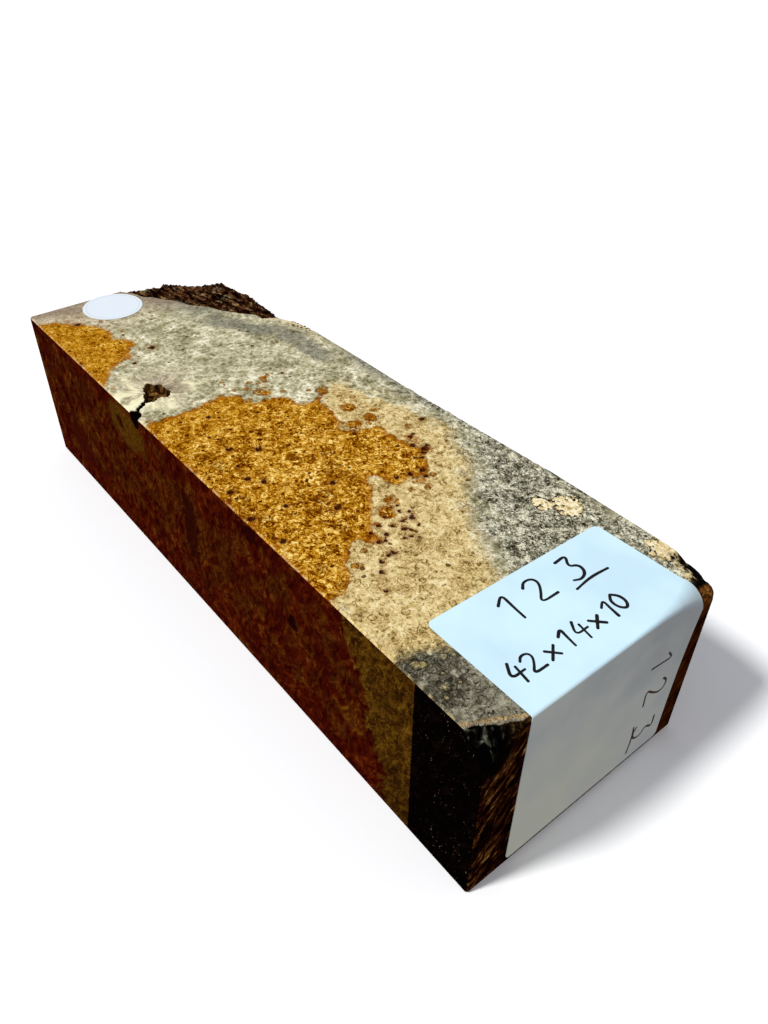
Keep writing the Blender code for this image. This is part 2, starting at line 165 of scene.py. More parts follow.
def to_line(xy, points):
    """Signed distance of each place to an open line, positive on its left-hand side."""
    start, along = np.array(points[:-1], float), np.diff(np.array(points, float), axis=0)
    reach = xy[:, None] - start
    share = np.clip((reach * along).sum(2) / (along ** 2).sum(1), 0, 1)
    gap = np.linalg.norm(reach - share[..., None] * along, axis=2)
    near = gap.argmin(1)
    row = np.arange(len(xy))
    turn = along[near, 0] * reach[row, near, 1] - along[near, 1] * reach[row, near, 0]
    return np.copysign(gap[row, near], turn)


def inside(xy, outline):
    """How far each place lies inside a closed outline, negative outside it."""
    ring = np.array(outline + outline[:1], float)
    a, b = ring[:-1], ring[1:]
    x, y = xy[:, :1], xy[:, 1:]
    level = np.where(b[:, 1] == a[:, 1], 1e-9, b[:, 1] - a[:, 1])
    crossed = ((a[:, 1] > y) != (b[:, 1] > y)) & (x < a[:, 0] + (b[:, 0] - a[:, 0]) * (y - a[:, 1]) / level)
    gap = np.abs(to_line(xy, outline + outline[:1]))
    return np.where(crossed.sum(1) % 2 == 1, gap, -gap)


def grain(xy, size_x, size_y, layer):
    """Smooth noise from -1 to 1 at each place, with lumps of a given size."""
    return np.array([noise.noise((x / size_x, y / size_y, layer)) for x, y in xy])


def bark_height(xy, out):
    """Height of the bark: the solid's own slope and lumps, with finer furrows and scales laid over them."""
    x, y = xy.T
    to_end, to_side = np.maximum(x + END_X, 0), np.maximum(SIDE_Y - y, 0)
    by_end, by_side = 1 / (to_end + 4) ** 2, 1 / (to_side + 4) ** 2
    rim = (by_end * lookup(BARK_AT_FAR_END, y) + by_side * lookup(BARK_AT_SIDE, x)) / (by_end + by_side)
    room = 1 / np.sqrt(1 / (to_end + 0.5) ** 2 + 1 / (to_side + 0.5) ** 2)
    out = np.maximum(out, 0)
    start = TOP - lookup(BARK_LEDGE, x) * np.minimum(1, out / BARK_LEDGE_RUN)
    base = start + (rim - start) * (out / (out + room)) ** 0.8
    depth = ease(out / 5) * np.minimum(1, 0.25 + (TOP - base) / 12)
    lump = grain(xy, 13, 11, 3.0)
    furrow = np.abs(np.array([noise.noise((a / 26 + b / 40, b / 5.5 - a / 34, 8.0)) for a, b in xy]))
    scale = np.array([noise.ridged_multi_fractal((a / 10, b / 3.6 - a / 24, 2.0), 0.9, 2.1, 4, 1.0, 1.6)
                      for a, b in xy])
    height = base + depth * (BARK_LUMP * lump - BARK_FURROW * (1 - 3 * furrow))
    return np.minimum(TOP, height + ease(out / 2) * (0.42 * (scale - 1.1) + 0.2 * grain(xy, 2.4, 1.2, 6.0)))


def drops(xy):
    """Depth below the sawn face of the knot, crack, bite, bud eyes and chipped corner, each on its own."""
    x, y = xy.T
    deep = inside(xy, KNOT) + 0.9 * grain(xy, 2.6, 2.2, 1.0) + 0.6 * grain(xy, 1.2, 1.0, 12.0)
    pit = KNOT_PIT * np.clip(deep, 0, 1) - KNOT_PLUG * ease((deep - 1.6) / 1.4)
    knot = np.maximum(0, pit + (deep > 0) * 0.8 * grain(xy, 3, 1.2, 2.0))
    crack = CRACK_DEPTH * np.maximum(0, 1 - np.abs(to_line(xy, CRACK) + 1.3 * grain(xy, 2.2, 2.2, 4.0)) / 1.3)
    reach = np.hypot((x - BITE_CENTRE[0]) / BITE_REACH[0], (y - BITE_CENTRE[1]) / BITE_REACH[1])
    bite = BITE_DEPTH * np.sqrt(np.clip(1 - (reach + 0.12 * grain(xy, 2, 2, 5.0)) ** 2, 0, 1))
    eye = np.zeros(len(xy))
    for ex, ey, radius in EYES:
        ratio = np.hypot(x - ex, y - ey) / radius
        eye = np.maximum(eye, EYE_DEPTH * ease(1.6 - 1.6 * ratio) * min(1, radius))
    normal = np.cross(CHIP[2] - CHIP[0], CHIP[1] - CHIP[0])
    fall = (normal[0] * (x - CHIP[0, 0]) + normal[1] * (y - CHIP[0, 1])) / normal[2]
    rough = grain(xy, 3, 3, 5.0) + grain(xy, 1.1, 1.3, 9.0) * 0.4
    chip = np.maximum(0, fall + 1.5 * grain(xy, 4.5, 4.5, 13.0) + 0.8 * ease(fall / 2) * rough)
    return knot, crack, bite, eye, chip


def top_height(xy):
    """Height of the top of the block at each place."""
    x, y = xy.T
    back = np.clip(1 - (END_X - x) / lookup(ROLL_RUN, y), 0, 1)
    roll = lookup(ROLL_DROP, y) * (1 - np.sqrt(1 - back ** 2))
    into = ease((x - 178) / 12) * ease((y - 50) / 8)
    hollows, pits = (np.maximum(0, g) for g in (0.5 + grain(xy, 4, 4, 11.0), grain(xy, 1.2, 1.6, 7.0)))
    worn = into * (0.7 * hollows + 0.5 * pits) + lookup(WORN_ARRIS, x) * ease((y - 62) / 5)
    height = TOP - np.max(drops(xy), axis=0) - roll - worn
    out = to_line(xy, BARK_LINE)
    return np.where(out > 0, np.minimum(height, bark_height(xy, out)), height)


def span(start, stop, spacing):
    """Evenly spaced places from start up to stop, which is left out."""
    return list(np.linspace(start, stop, max(1, round(abs(stop - start) / spacing)), endpoint=False))


def field(box, spacing):
    """The places of a triangular grid in a box."""
    x0, x1, y0, y1 = box
    rows = np.arange(y0, y1, spacing * 0.87)
    columns = np.arange(x0, x1, spacing)
    return np.array([(x + (i % 2) * spacing / 2, y) for i, y in enumerate(rows) for x in columns])


# Round the plan, anticlockwise from the near left corner: x, y and the way inwards
near_x, near_y = END_X - CORNER, SIDE_Y - CORNER
near_end = span(-near_y, -44, 0.9) + span(-44, 28, 4) + span(28, near_y, 0.9) + [near_y]
right_side = span(near_x, 176, 0.9) + span(176, 130, 3) + span(130, -near_x, 1.1) + [-near_x]
far_end = span(near_y, -14, 1.1) + span(-14, -near_y, 3) + [-near_y]
left_side = span(-near_x, -70, 3) + span(-70, -53, 0.5) + span(-53, 193, 3)
left_side += span(193, near_x, 0.9) + [near_x]
ring = [(END_X, y, -1, 0) for y in near_end] + [(x, SIDE_Y, 0, -1) for x in right_side]
ring += [(-END_X, y, 1, 0) for y in far_end] + [(x, -SIDE_Y, 0, 1) for x in left_side]
ring = np.array(ring)
rim = ring[:, :2] + ARRIS * ring[:, 2:]

# The lines that the top is triangulated along, and points wherever it is rough
lines = [(rim, True)]
roomy = [p for p in BARK_LINE if abs(p[0]) < END_X - 1.5 and abs(p[1]) < SIDE_Y - 1.5]
lines.append((np.array(roomy, float), False))
for ex, ey, radius in EYES:
    for share in (1.0, 0.75, 0.45):
        turns = np.linspace(0, 2 * math.pi, 10, endpoint=False)
        lines.append((np.array([(ex + radius * share * math.cos(a), ey + radius * share * math.sin(a))
                                for a in turns]), True))
points, edges = [], []
for line, closed in lines:
    first = len(points)
    points += [tuple(p) for p in line]
    edges += [(i, i + 1) for i in range(first, len(points) - 1)]
    if closed:
        edges.append((len(points) - 1, first))
laid = np.array(points)
plain = field((-END_X, END_X, -SIDE_Y, SIDE_Y), 2.4)
plain = plain[to_line(plain, BARK_LINE) < -1]
barky = field((-END_X, 140, -12, SIDE_Y), 0.85)
barky = barky[to_line(barky, BARK_LINE) > -1]
holes = field((-92, -50, -SIDE_Y, -38), 0.5)
chipped = field((193, END_X, -SIDE_Y, -44), 0.7)
worn = field((174, END_X, 40, SIDE_Y), 0.8)
for patch in (plain, barky, holes, chipped, worn):
    clear = (np.abs(patch[:, 0]) < END_X - ARRIS - 0.3) & (np.abs(patch[:, 1]) < SIDE_Y - ARRIS - 0.3)
    patch = patch[clear]
    for start in range(0, len(patch), 4000):
        some = patch[start:start + 4000]
        gap = np.min(np.hypot(some[:, None, 0] - laid[:, 0], some[:, None, 1] - laid[:, 1]), axis=1)
        points += [tuple(p) for p in some[gap > 0.35]]
flat, _, triangles, origins, _, _ = delaunay_2d_cdt([Vector(p) for p in points], edges, [], 1, 1e-4)
plan = np.array([(p.x, p.y) for p in flat])
count = len(ring)
rim_at = {source: i for i, sources in enumerate(origins) for source in sources if source < count}

# The walls end a little below the arris; at the near end the top rolls over further
inner_height = top_height(rim)
chip_here = drops(rim)[4] > 0
wall_top = inner_height - ARRIS
rolled = (ring[:, 2] == -1) & ~chip_here
wall_top[rolled] = TOP - lookup(ROLL_DROP, ring[rolled, 1])
verts = [(x, y, z) for (x, y), z in zip(plan, top_height(plan))]
faces = [tuple(t) for t in triangles]
wall = len(verts)
verts += [(x, y, z) for (x, y), z in zip(ring[:, :2], wall_top)]
faces += [(rim_at[i], rim_at[(i + 1) % count], wall + (i + 1) % count, wall + i) for i in range(count)]
turning = [i for i in range(count) if tuple(ring[i, 2:]) != tuple(ring[(i + 1) % count, 2:])]
corners = [end for i in turning for end in (i, (i + 1) % count)]
low = len(verts)
verts += [(ring[i, 0], ring[i, 1], ARRIS) for i in corners]
base = len(verts)
verts += [(*(ring[i, :2] + ARRIS * ring[i, 2:]), 0) for i in corners]
for k, start in enumerate(corners):
    after = (k + 1) % len(corners)
    reach = (corners[after] - start) % count
    faces.append(tuple([wall + (start + i) % count for i in range(reach + 1)] + [low + after, low + k]))
    faces.append((low + k, low + after, base + after, base + k))
faces.append(tuple(base + k for k in range(len(corners))))

block = bpy.data.objects.new("burl_wood_block", bpy.data.meshes.new("burl_wood_block"))
shell = bmesh.new()
made = [shell.verts.new(Vector(v) * MM) for v in verts]
for face in faces:
    shell.faces.new([made[i] for i in face])
bmesh.ops.recalc_face_normals(shell, faces=shell.faces)
shell.to_mesh(block.data)
shell.free()
bpy.context.scene.collection.objects.link(block)


# The finish of the figured face: amboyna heartwood in orange lobes, packed with small ringed eyes, set in
# pale cream and grey sapwood that is stained darker towards the bark and the right arris. It is sanded bare.
ORANGE_FAR = [(-198, -72), (-192, -60), (-181, -51), (-171, -41), (-159, -37), (-148, -39), (-139, -31),
              (-133, -33), (-128, -40), (-119, -49), (-115, -57), (-106, -63), (-94, -72)]
ORANGE_MIDDLE = [(-49, -72), (-48, -46), (-49, -31), (-51, -23), (-45, -16), (-33, -12), (-29, 4), (-15, 9),
                 (-14, 14), (-22, 26), (-16, 27), (-12, 19), (1, 17), (12, 14), (18, 11), (24, 16), (27, 28),
                 (45, 29), (58, 33), (69, 27), (79, 19), (73, 12), (76, 2), (60, -4), (69, -9), (81, -18),
                 (92, -27), (104, -29), (95, -40), (102, -49), (111, -54), (117, -61), (119, -72)]
ORANGE_SPOTS = [(2.8, 25.6, 4.2), (18.3, 29, 4.6), (18.3, 18.3, 3.8), (80.6, -7.8, 3.2), (86.7, -15.6, 4.6),
                (-52, 6, 1.8), (-37, -2, 2.6), (-48, -8, 1.8), (-43, 3, 1.6), (-57, -16, 1.7),
                (-124, -44, 3.6), (48, 34, 3.6), (60, 32, 3.4), (78, 14, 2.4)]
RUSTY_EYES = [(-53.1, 9.6, 1.6), (-51.3, 6, 1.5), (-48, 4.7, 1.3), (-48.9, 1.3, 1.1), (-52.7, -2.7, 1.4),
              (-41, -3.7, 2.8), (-47, -7.3, 1.3), (-43.7, -16.7, 2.5), (-48, -24, 2.1), (-46.7, -28.7, 2.7),
              (-41.3, -25.3, 2.0), (-20, 25, 3.2), (-25.3, 19.3, 1.2), (-123.3, -48.7, 3.6),
              (-50.5, -14, 1.2), (-36, -13, 1.8), (78, 22, 1.6), (84, 14, 1.5), (81, 5, 1.4), (96, -34, 1.8),
              (108, -47, 1.6), (101, -40, 1.4), (14, 36, 2.2), (38, 40, 1.8)]
# Ringed eyes: brown ones, faint ones in the cream and pale ones in the grey corner (x, y, radius)
BROWN_EYES = [(2.7, 25.6, 4.2), (18.2, 28.5, 4.6), (18.2, 17.8, 3.8), (86, -16, 5), (79.9, -7.1, 3.5),
              (69.3, -36.6, 3.6), (81, -37.7, 3.3), (113.8, -60.4, 3.3), (7.1, -57.2, 3.9), (6.6, -34.2, 2.2),
              (37.1, -61.7, 3.3), (26, -24, 3.2), (42, -14, 5.2), (60, -31, 5.6), (50, 32, 3), (60.5, 31, 3),
              (-16, 24, 3.2), (-44, -9, 3), (52, -12, 4), (57, -62, 3.4), (31, -8, 3.6), (91, -52, 3.2),
              (99, -62, 3.4)]
FAINT_EYES = [(117.4, -17.7, 3.9), (122.1, -6.6, 3.3), (118.2, 0.1, 2.8), (131.6, 9.6, 3.3),
              (124.9, -28.8, 5.5), (140.4, -38.8, 2.8), (120.4, -47.1, 3.9), (130.4, -42.1, 3.3),
              (4.9, 55, 3.3), (28.2, 40.5, 3.8), (108, 16, 3), (95, 30, 3.6), (144, -22, 3.6),
              (136, -58, 3.6), (150, -54, 3)]
PALE_EYES = [(165, -64, 2.2), (166.6, -62.4, 1.8), (168.2, -53.4, 2.0), (179.6, -62.4, 2.3),
             (174.7, -59.1, 1.1), (184, -65.2, 1.3), (169, -60, 0.8), (181.4, -56.6, 0.9)]
DARK_EYES = [(178.6, -51.8, 1.9), (183.6, -65, 2.4), (181, -56.6, 1.8), (193, -56, 2.2), (199, -60.5, 1.6),
             (204, -55, 1.4)]
CREAM_FIELD = [(-20, 34), (20, 46), (52, 52), (80, 44), (98, 24), (118, 8), (150, -6), (168, -20), (168, -72),
               (100, -72), (60, 0), (0, 12)]
GREY_FIELD = [(60, 72), (64, 52), (88, 42), (108, 22), (134, 6), (158, -4), (172, -46), (212, -48), (212, 72)]
GREY_CORNER = [(160, -72), (161, -60), (168, -50), (176, -46), (212, -44), (212, -72)]
FAR_STRIP = [(-212, -72), (-206, -40), (-204, -8)]
CREAM_PATCHES = [(136, 55.6, 9), (127, 46.7, 6.5), (183, 66, 9)]

xy = np.array([(v.co.x, v.co.y) for v in block.data.vertices]) / MM
orange = np.maximum(inside(xy, ORANGE_FAR), inside(xy, ORANGE_MIDDLE))
for spot_x, spot_y, radius in ORANGE_SPOTS:
    orange = np.maximum(orange, radius + 0.6 - np.hypot(xy[:, 0] - spot_x, xy[:, 1] - spot_y))
cream = ease(0.6 + inside(xy, CREAM_FIELD) / 28)
bark_out = to_line(xy, BARK_LINE)
grey = np.maximum(ease(0.55 + inside(xy, GREY_FIELD) / 38), ease(0.5 + inside(xy, GREY_CORNER) / 7))
stain_reach = lookup([(-150, 30), (-100, 24), (-50, 20), (40, 16)], xy[:, 0])
grey = np.maximum(grey, ease(1 + (bark_out - 2) / stain_reach))
grey = np.maximum(grey, 0.9 * ease(1.1 - np.abs(to_line(xy, FAR_STRIP)) / 18))
band_share = ease((xy[:, 0] + 150) / 20) * ease((-36 - xy[:, 0]) / 20)
grey = np.where(bark_out > -9, grey * (1 - 0.7 * band_share), grey)
grey = np.maximum(grey, band_share * ease(1.25 - np.abs(bark_out + 15) / 10))
patch = np.full(len(xy), -20.0)
for patch_x, patch_y, radius in CREAM_PATCHES:
    patch = np.maximum(patch, radius - np.hypot(xy[:, 0] - patch_x, (xy[:, 1] - patch_y) * 1.15))
eye_rim = np.full(len(xy), 9.0)
for eye_x, eye_y, radius in EYES:
    eye_rim = np.minimum(eye_rim, np.hypot(xy[:, 0] - eye_x, xy[:, 1] - eye_y) / radius)
knot_in = inside(xy, KNOT)
for name, values in (("orange", orange), ("cream", cream), ("grey", grey), ("patch", patch), ("eye", eye_rim),
                     ("bark", bark_out), ("knot", knot_in)):
    block.data.attributes.new(name, "FLOAT", "POINT").data.foreach_set("value", np.clip(values, -20, 20))


class Finish:
    """A material built up in a few short words; lengths are in millimetres and colours are sRGB, 0 to 255."""

    def __init__(self, name):
        self.material = bpy.data.materials.new(name)
        self.material.use_nodes = True
        self.tree = self.material.node_tree
        self.shader = self.tree.nodes["Principled BSDF"]
        self.place = self.vector("SCALE", self.node("ShaderNodeTexCoord").outputs["Object"], 1 / MM)

    def feed(self, socket, value):
        if isinstance(value, bpy.types.NodeSocket):
            self.tree.links.new(value, socket)
        else:
            socket.default_value = value

    def node(self, kind, feeds=None, **settings):
        made = self.tree.nodes.new(kind)
        for key, value in settings.items():
            setattr(made, key, value)
        for key, value in (feeds or {}).items():
            self.feed(made.inputs[key], value)
        return made

    def math(self, operation, *values):
        return self.node("ShaderNodeMath", dict(enumerate(values)), operation=operation).outputs[0]

    def plus(self, *values):
        return self.math("ADD", *values)

    def times(self, *values):
        return self.math("MULTIPLY", *values)

    def vector(self, operation, first, second):
        feeds = {0: first, 3 if operation == "SCALE" else 1: second}
        return self.node("ShaderNodeVectorMath", feeds, operation=operation).outputs[0]

    def noise(self, place, size, detail=2.0, rough=0.5, twist=0.0):
        feeds = {"Vector": place, "Scale": 1 / size, "Detail": detail, "Roughness": rough,
                 "Distortion": twist}
        return self.node("ShaderNodeTexNoise", feeds).outputs[0]

    def jitter(self, place, size, reach):
        feeds = {"Vector": place, "Scale": 1 / size, "Detail": 2.0}
        swirl = self.node("ShaderNodeTexNoise", feeds).outputs[1]
        swirl = self.vector("SUBTRACT", swirl, (0.5, 0.5, 0.5))
        return self.vector("ADD", place, self.vector("SCALE", swirl, 2 * reach))

    def cells(self, place, size, feature="F1"):
        """Distance to the nearest cell's middle in millimetres, and the cell's random colour."""
        made = self.node("ShaderNodeTexVoronoi", {"Vector": place, "Scale": 1 / size}, feature=feature)
        colour = made.outputs["Color"] if feature == "F1" else None
        return self.math("MULTIPLY", made.outputs["Distance"], size), colour

    def nearest(self, place, spots):
        """How many radii away the nearest of some round spots is."""
        ratio = 9.0
        for x, y, radius in spots:
            gap = self.node("ShaderNodeVectorMath", {0: place, 1: (x, y, 0)},
                            operation="DISTANCE").outputs["Value"]
            ratio = self.math("MINIMUM", self.math("DIVIDE", gap, radius), ratio)
        return ratio

    def line(self, value, at, width):
        """1 where a value is at one level, down to 0 a width to either side of it."""
        return self.band(self.math("ABSOLUTE", self.math("SUBTRACT", value, at)), width, 0.0)

    def total(self, *parts):
        """The sum of several values, each times its weight."""
        value = 0.0
        for part, weight in parts:
            value = self.math("MULTIPLY_ADD", part, weight, value)
        return value

    def band(self, value, low, high, start=0.0, stop=1.0):
        feeds = {"Value": value, "From Min": low, "From Max": high, "To Min": start, "To Max": stop}
        return self.node("ShaderNodeMapRange", feeds, interpolation_type="SMOOTHSTEP").outputs[0]

    def swing(self, value, low, high, reach=1.0):
        """A smooth step from minus a reach up to plus that reach."""
        return self.band(value, low, high, -reach, reach)

    def ramp(self, value, *stops):
        made = self.node("ShaderNodeValToRGB", {0: value})
        elements = made.color_ramp.elements
        while len(elements) < len(stops):
            elements.new(0.5)
        for element, (at, colour) in zip(elements, stops):
            element.position = at
            element.color = self.colour(*colour)
        return made.outputs[0]

    def blend(self, amount, first, second, mode="MIX"):
        made = self.node("ShaderNodeMix", {0: amount, 6: first, 7: second}, data_type="RGBA", blend_type=mode)
        return made.outputs[2]

    def colour(self, *rgb):
        return tuple(((c / 255 + 0.055) / 1.055) ** 2.4 if c > 10 else c / 3295 for c in rgb) + (1,)

    def attribute(self, name):
        return self.node("ShaderNodeAttribute", attribute_name=name).outputs["Fac"]

    def axis(self, place, name):
        return self.node("ShaderNodeSeparateXYZ", {0: place}).outputs[name]

    def bump(self, height, depth, under=None):
        feeds = {"Height": height, "Distance": depth * MM, "Strength": 1.0}
        if under:
            feeds["Normal"] = under
        return self.node("ShaderNodeBump", feeds).outputs[0]

    def finish(self, colour, rough, normal=None, **constants):
        self.feed(self.shader.inputs["Base Color"], colour)
        self.feed(self.shader.inputs["Roughness"], rough)
        if normal:
            self.feed(self.shader.inputs["Normal"], normal)
        for key, value in constants.items():
            self.shader.inputs[key.replace("_", " ")].default_value = value
        return self.material


figure = Finish("burl_figured_face")
flat_place = figure.vector("MULTIPLY", figure.place, (1, 1, 0))
bent = figure.jitter(figure.jitter(flat_place, 15, 2.6), 4, 0.7)
curl = figure.noise(bent, 3.1, 2.4, 0.55, 0.8)
fine = figure.noise(flat_place, 0.8, 3, 0.6, 0.5)
drift = figure.noise(flat_place, 15, 2)
stain = figure.noise(figure.vector("ADD", flat_place, (70, 30, 0)), 6.5, 3, 0.6, 0.8)

# Bud eyes too small to model: dots in round clumps, some of them ringed, and finer dots between
clump_gap, clump_kind = figure.cells(figure.jitter(flat_place, 6, 1.4), 12)
clumped = figure.band(figure.axis(clump_kind, "X"), 0.35, 0.45)
clump = figure.times(figure.band(clump_gap, 4.6, 3.0), clumped)
clump_ring = figure.times(figure.line(clump_gap, 4.9, 1.2), clumped)
pip_gap, pip_kind = figure.cells(figure.jitter(flat_place, 1.8, 0.8), 4.4)
draw, shade, third = (figure.axis(pip_kind, name) for name in "XYZ")
pip_size = figure.band(figure.total((draw, 1.0), (clump, 0.25)), 0.45, 1.15, 0.0, 1.4)
pip_in = figure.math("SUBTRACT", pip_size, pip_gap)
pip = figure.band(pip_in, -0.05, 0.25)
halo = figure.math("SUBTRACT", figure.band(pip_in, -1.0, -0.3), figure.band(pip_in, -0.3, 0.0))
ring_size = figure.band(shade, 0.0, 1.0, 0.8, 1.9)
ringed = figure.band(third, 0.3, 0.35)
arc = figure.band(figure.noise(flat_place, 2.6, 2), 0.4, 0.52)
pip_ring = figure.times(figure.line(pip_gap, ring_size, 0.42), figure.times(ringed, arc))
in_ring = figure.times(figure.band(figure.math("SUBTRACT", ring_size, pip_gap), 0.0, 0.3), ringed)
dot_gap, dot_kind = figure.cells(figure.jitter(flat_place, 1.2, 0.35), 2.3)
dot_size = figure.band(figure.total((figure.axis(dot_kind, "X"), 1.0), (clump, 0.55)), 0.66, 1.25, 0.0, 0.85)
dot = figure.band(figure.math("SUBTRACT", dot_size, dot_gap), -0.05, 0.15)
dot_ring = figure.times(figure.line(dot_gap, 0.78, 0.3), figure.band(figure.axis(dot_kind, "Y"), 0.56, 0.6))

# Grain that winds round the buds and itself, with bright and dark hairlines, and a pale web in the sapwood
around = figure.math("SINE", figure.total((pip_gap, 4.2), (curl, 7.0)))
winding = figure.math("SINE", figure.times(figure.noise(bent, 7.5, 1.5, 0.5, 0.9), 25.0))
strand = figure.math("SINE", figure.times(figure.noise(bent, 5.2, 0.8, 0.5, 0.6), 19.0))
bright_strand = figure.math("SINE", figure.times(figure.noise(bent, 4.4, 1.0, 0.5, 0.7), 24.0))
dark_strand = figure.noise(figure.vector("ADD", bent, (9, 50, 0)), 5.6, 1.2, 0.5, 0.8)
dark_strand = figure.math("SINE", figure.times(dark_strand, 27.0))
bright_line = figure.line(figure.noise(bent, 4.2, 2, 0.55, 1.4), 0.52, 0.035)
dark_line = figure.line(figure.noise(figure.vector("ADD", bent, (40, 9, 0)), 5.0, 2.5, 0.6, 1.5), 0.47, 0.028)
wide_gap, _ = figure.cells(figure.jitter(flat_place, 4, 1.6), 6.0, "DISTANCE_TO_EDGE")
small_gap, _ = figure.cells(figure.jitter(flat_place, 2.6, 0.9), 3.4, "DISTANCE_TO_EDGE")
web = figure.total((figure.times(figure.band(wide_gap, 1.5, 0.3), figure.band(drift, 0.35, 0.6)), 0.7),
                   (figure.band(small_gap, 0.75, 0.15), 0.52))


def eye_field(spots, size, reach, ragged):
    """How many radii away the nearest ringed eye is, with a ragged edge."""
    return figure.plus(figure.nearest(figure.jitter(flat_place, size, reach), spots),
                       figure.band(curl, 0.2, 0.8, -ragged, ragged))


brown_eye, faint_eye = eye_field(BROWN_EYES, 3, 1.1, 0.2), eye_field(FAINT_EYES, 3, 0.9, 0.15)
rusty_eye = figure.times(eye_field(RUSTY_EYES, 2.2, 1.0, 0.34), 0.84)
pale_eye, dark_eye = eye_field(PALE_EYES, 2.4, 1.3, 0.5), eye_field(DARK_EYES, 2.4, 0.8, 0.2)

tone = figure.total((1.0, 0.47), (winding, 0.07), (around, 0.06), (figure.swing(curl, 0.28, 0.72, 0.5), 0.14),
                    (strand, 0.07), (figure.band(bright_strand, 0.5, 1.0), 0.26),
                    (figure.band(dark_strand, 0.6, 1.0), -0.31), (bright_line, 0.34), (dark_line, -0.36),
                    (figure.swing(fine, 0.25, 0.75, 0.5), 0.03), (figure.swing(drift, 0.3, 0.7, 0.5), 0.18),
                    (figure.swing(stain, 0.3, 0.7, 0.5), 0.2), (halo, 0.16), (pip_ring, -0.4),
                    (in_ring, -0.08), (clump, -0.13), (clump_ring, 0.16), (dot_ring, -0.22))
lengthwise = figure.axis(figure.place, "X")
calm = figure.band(lengthwise, -90, 30, 0.68, 1.08)
tone = figure.plus(0.52, figure.times(figure.math("SUBTRACT", tone, 0.52), calm))

bubble_gap, _ = figure.cells(figure.jitter(flat_place, 5, 0.8), 6.2)
orange_in = figure.total((figure.attribute("orange"), 1.0), (bubble_gap, -0.55), (1.0, 1.3),
                         (figure.swing(figure.noise(flat_place, 1.3, 3, 0.6), 0.25, 0.75), 0.7),
                         (figure.swing(figure.noise(flat_place, 3.2, 2, 0.5), 0.25, 0.75), 0.5))
far_stain = figure.band(lengthwise, -150, -190, 0.0, 0.35)
edge_softness = figure.plus(figure.band(lengthwise, -60, -100, 1.5, 3.0),
                            figure.band(drift, 0.46, 0.62, 0.0, 3.0))
is_orange = figure.band(figure.math("DIVIDE", orange_in, edge_softness), -0.4, 0.4)
orange_edge = figure.line(orange_in, 0.25, 0.8)
orange_rim = figure.times(is_orange, figure.band(orange_in, 5.0, 0.4))

orange_wood = figure.ramp(tone, (0.05, (84, 34, 2)), (0.24, (132, 76, 3)), (0.44, (172, 114, 14)),
                          (0.62, (202, 146, 34)), (0.8, (230, 184, 80)), (0.97, (252, 224, 140)))
orange_wood = figure.blend(figure.times(orange_rim, figure.band(stain, 0.4, 0.58, 0.1, 0.7)), orange_wood,
                           figure.colour(150, 78, 6))
orange_wood = figure.blend(figure.times(figure.line(brown_eye, 0.9, 0.24), figure.times(arc, 0.9)),
                           orange_wood, figure.colour(88, 38, 4))
orange_wood = figure.blend(figure.times(figure.line(brown_eye, 0.5, 0.22), figure.times(arc, 0.8)),
                           orange_wood, figure.colour(104, 52, 6))
orange_wood = figure.blend(figure.band(brown_eye, 0.26, 0.12, 0.0, 0.8), orange_wood,
                           figure.colour(70, 26, 6))
orange_wood = figure.blend(figure.times(dot, 0.9), orange_wood, figure.colour(80, 30, 4))
orange_wood = figure.blend(figure.times(pip, 0.9), orange_wood, figure.colour(66, 20, 5))
orange_wood = figure.blend(figure.times(orange_edge, figure.band(lengthwise, -70, -20, 0.15, 0.6)),
                           orange_wood, figure.colour(96, 48, 6))

pale_tone = figure.total((1.0, 0.42), (web, 0.3), (figure.swing(curl, 0.28, 0.72), 0.1),
                         (figure.swing(fine, 0.25, 0.75), 0.05), (winding, 0.05), (pip_ring, -0.12),
                         (figure.swing(stain, 0.3, 0.7), 0.12), (in_ring, -0.1), (bright_line, 0.12),
                         (figure.swing(figure.noise(flat_place, 24, 3, 0.6), 0.3, 0.7), 0.14))
pale_tone = figure.plus(0.5, figure.times(figure.math("SUBTRACT", pale_tone, 0.53),
                                          figure.band(lengthwise, -80, 0, 0.85, 1.0)))
pale_wood = figure.ramp(pale_tone, (0.1, (84, 80, 52)), (0.34, (132, 127, 94)), (0.5, (166, 159, 124)),
                        (0.68, (204, 196, 162)), (0.88, (244, 240, 214)))
cream_tone = figure.total((1.0, 0.5), (figure.swing(curl, 0.28, 0.72), 0.1), (winding, 0.07), (around, 0.04),
                          (strand, 0.07), (figure.swing(fine, 0.25, 0.75), 0.12), (bright_line, 0.16),
                          (dark_line, -0.32), (pip_ring, -0.36), (in_ring, -0.06), (dot_ring, -0.24),
                          (figure.swing(stain, 0.3, 0.7), 0.07), (figure.swing(drift, 0.3, 0.7), 0.08))
cream_wood = figure.ramp(cream_tone, (0.06, (104, 80, 38)), (0.26, (164, 138, 82)), (0.44, (204, 178, 118)),
                         (0.62, (228, 206, 148)), (0.92, (252, 240, 196)))
grey_tone = figure.total((1.0, 0.5), (figure.swing(curl, 0.28, 0.72), 0.17), (winding, 0.08), (web, 0.12),
                         (figure.swing(fine, 0.25, 0.75), 0.2), (bright_line, 0.26), (dark_line, -0.42),
                         (pip_ring, -0.32), (dot_ring, -0.3), (figure.swing(stain, 0.3, 0.7), 0.12),
                         (around, 0.05))
grey_share = figure.band(lengthwise, -50, 70, 0.42, 1.25)
grey_tone = figure.plus(0.5, figure.times(figure.math("SUBTRACT", grey_tone, 0.5), grey_share))
grey_wood = figure.ramp(grey_tone, (0.08, (34, 32, 20)), (0.3, (84, 82, 64)), (0.52, (134, 131, 112)),
                        (0.72, (178, 174, 150)), (0.95, (236, 232, 204)))
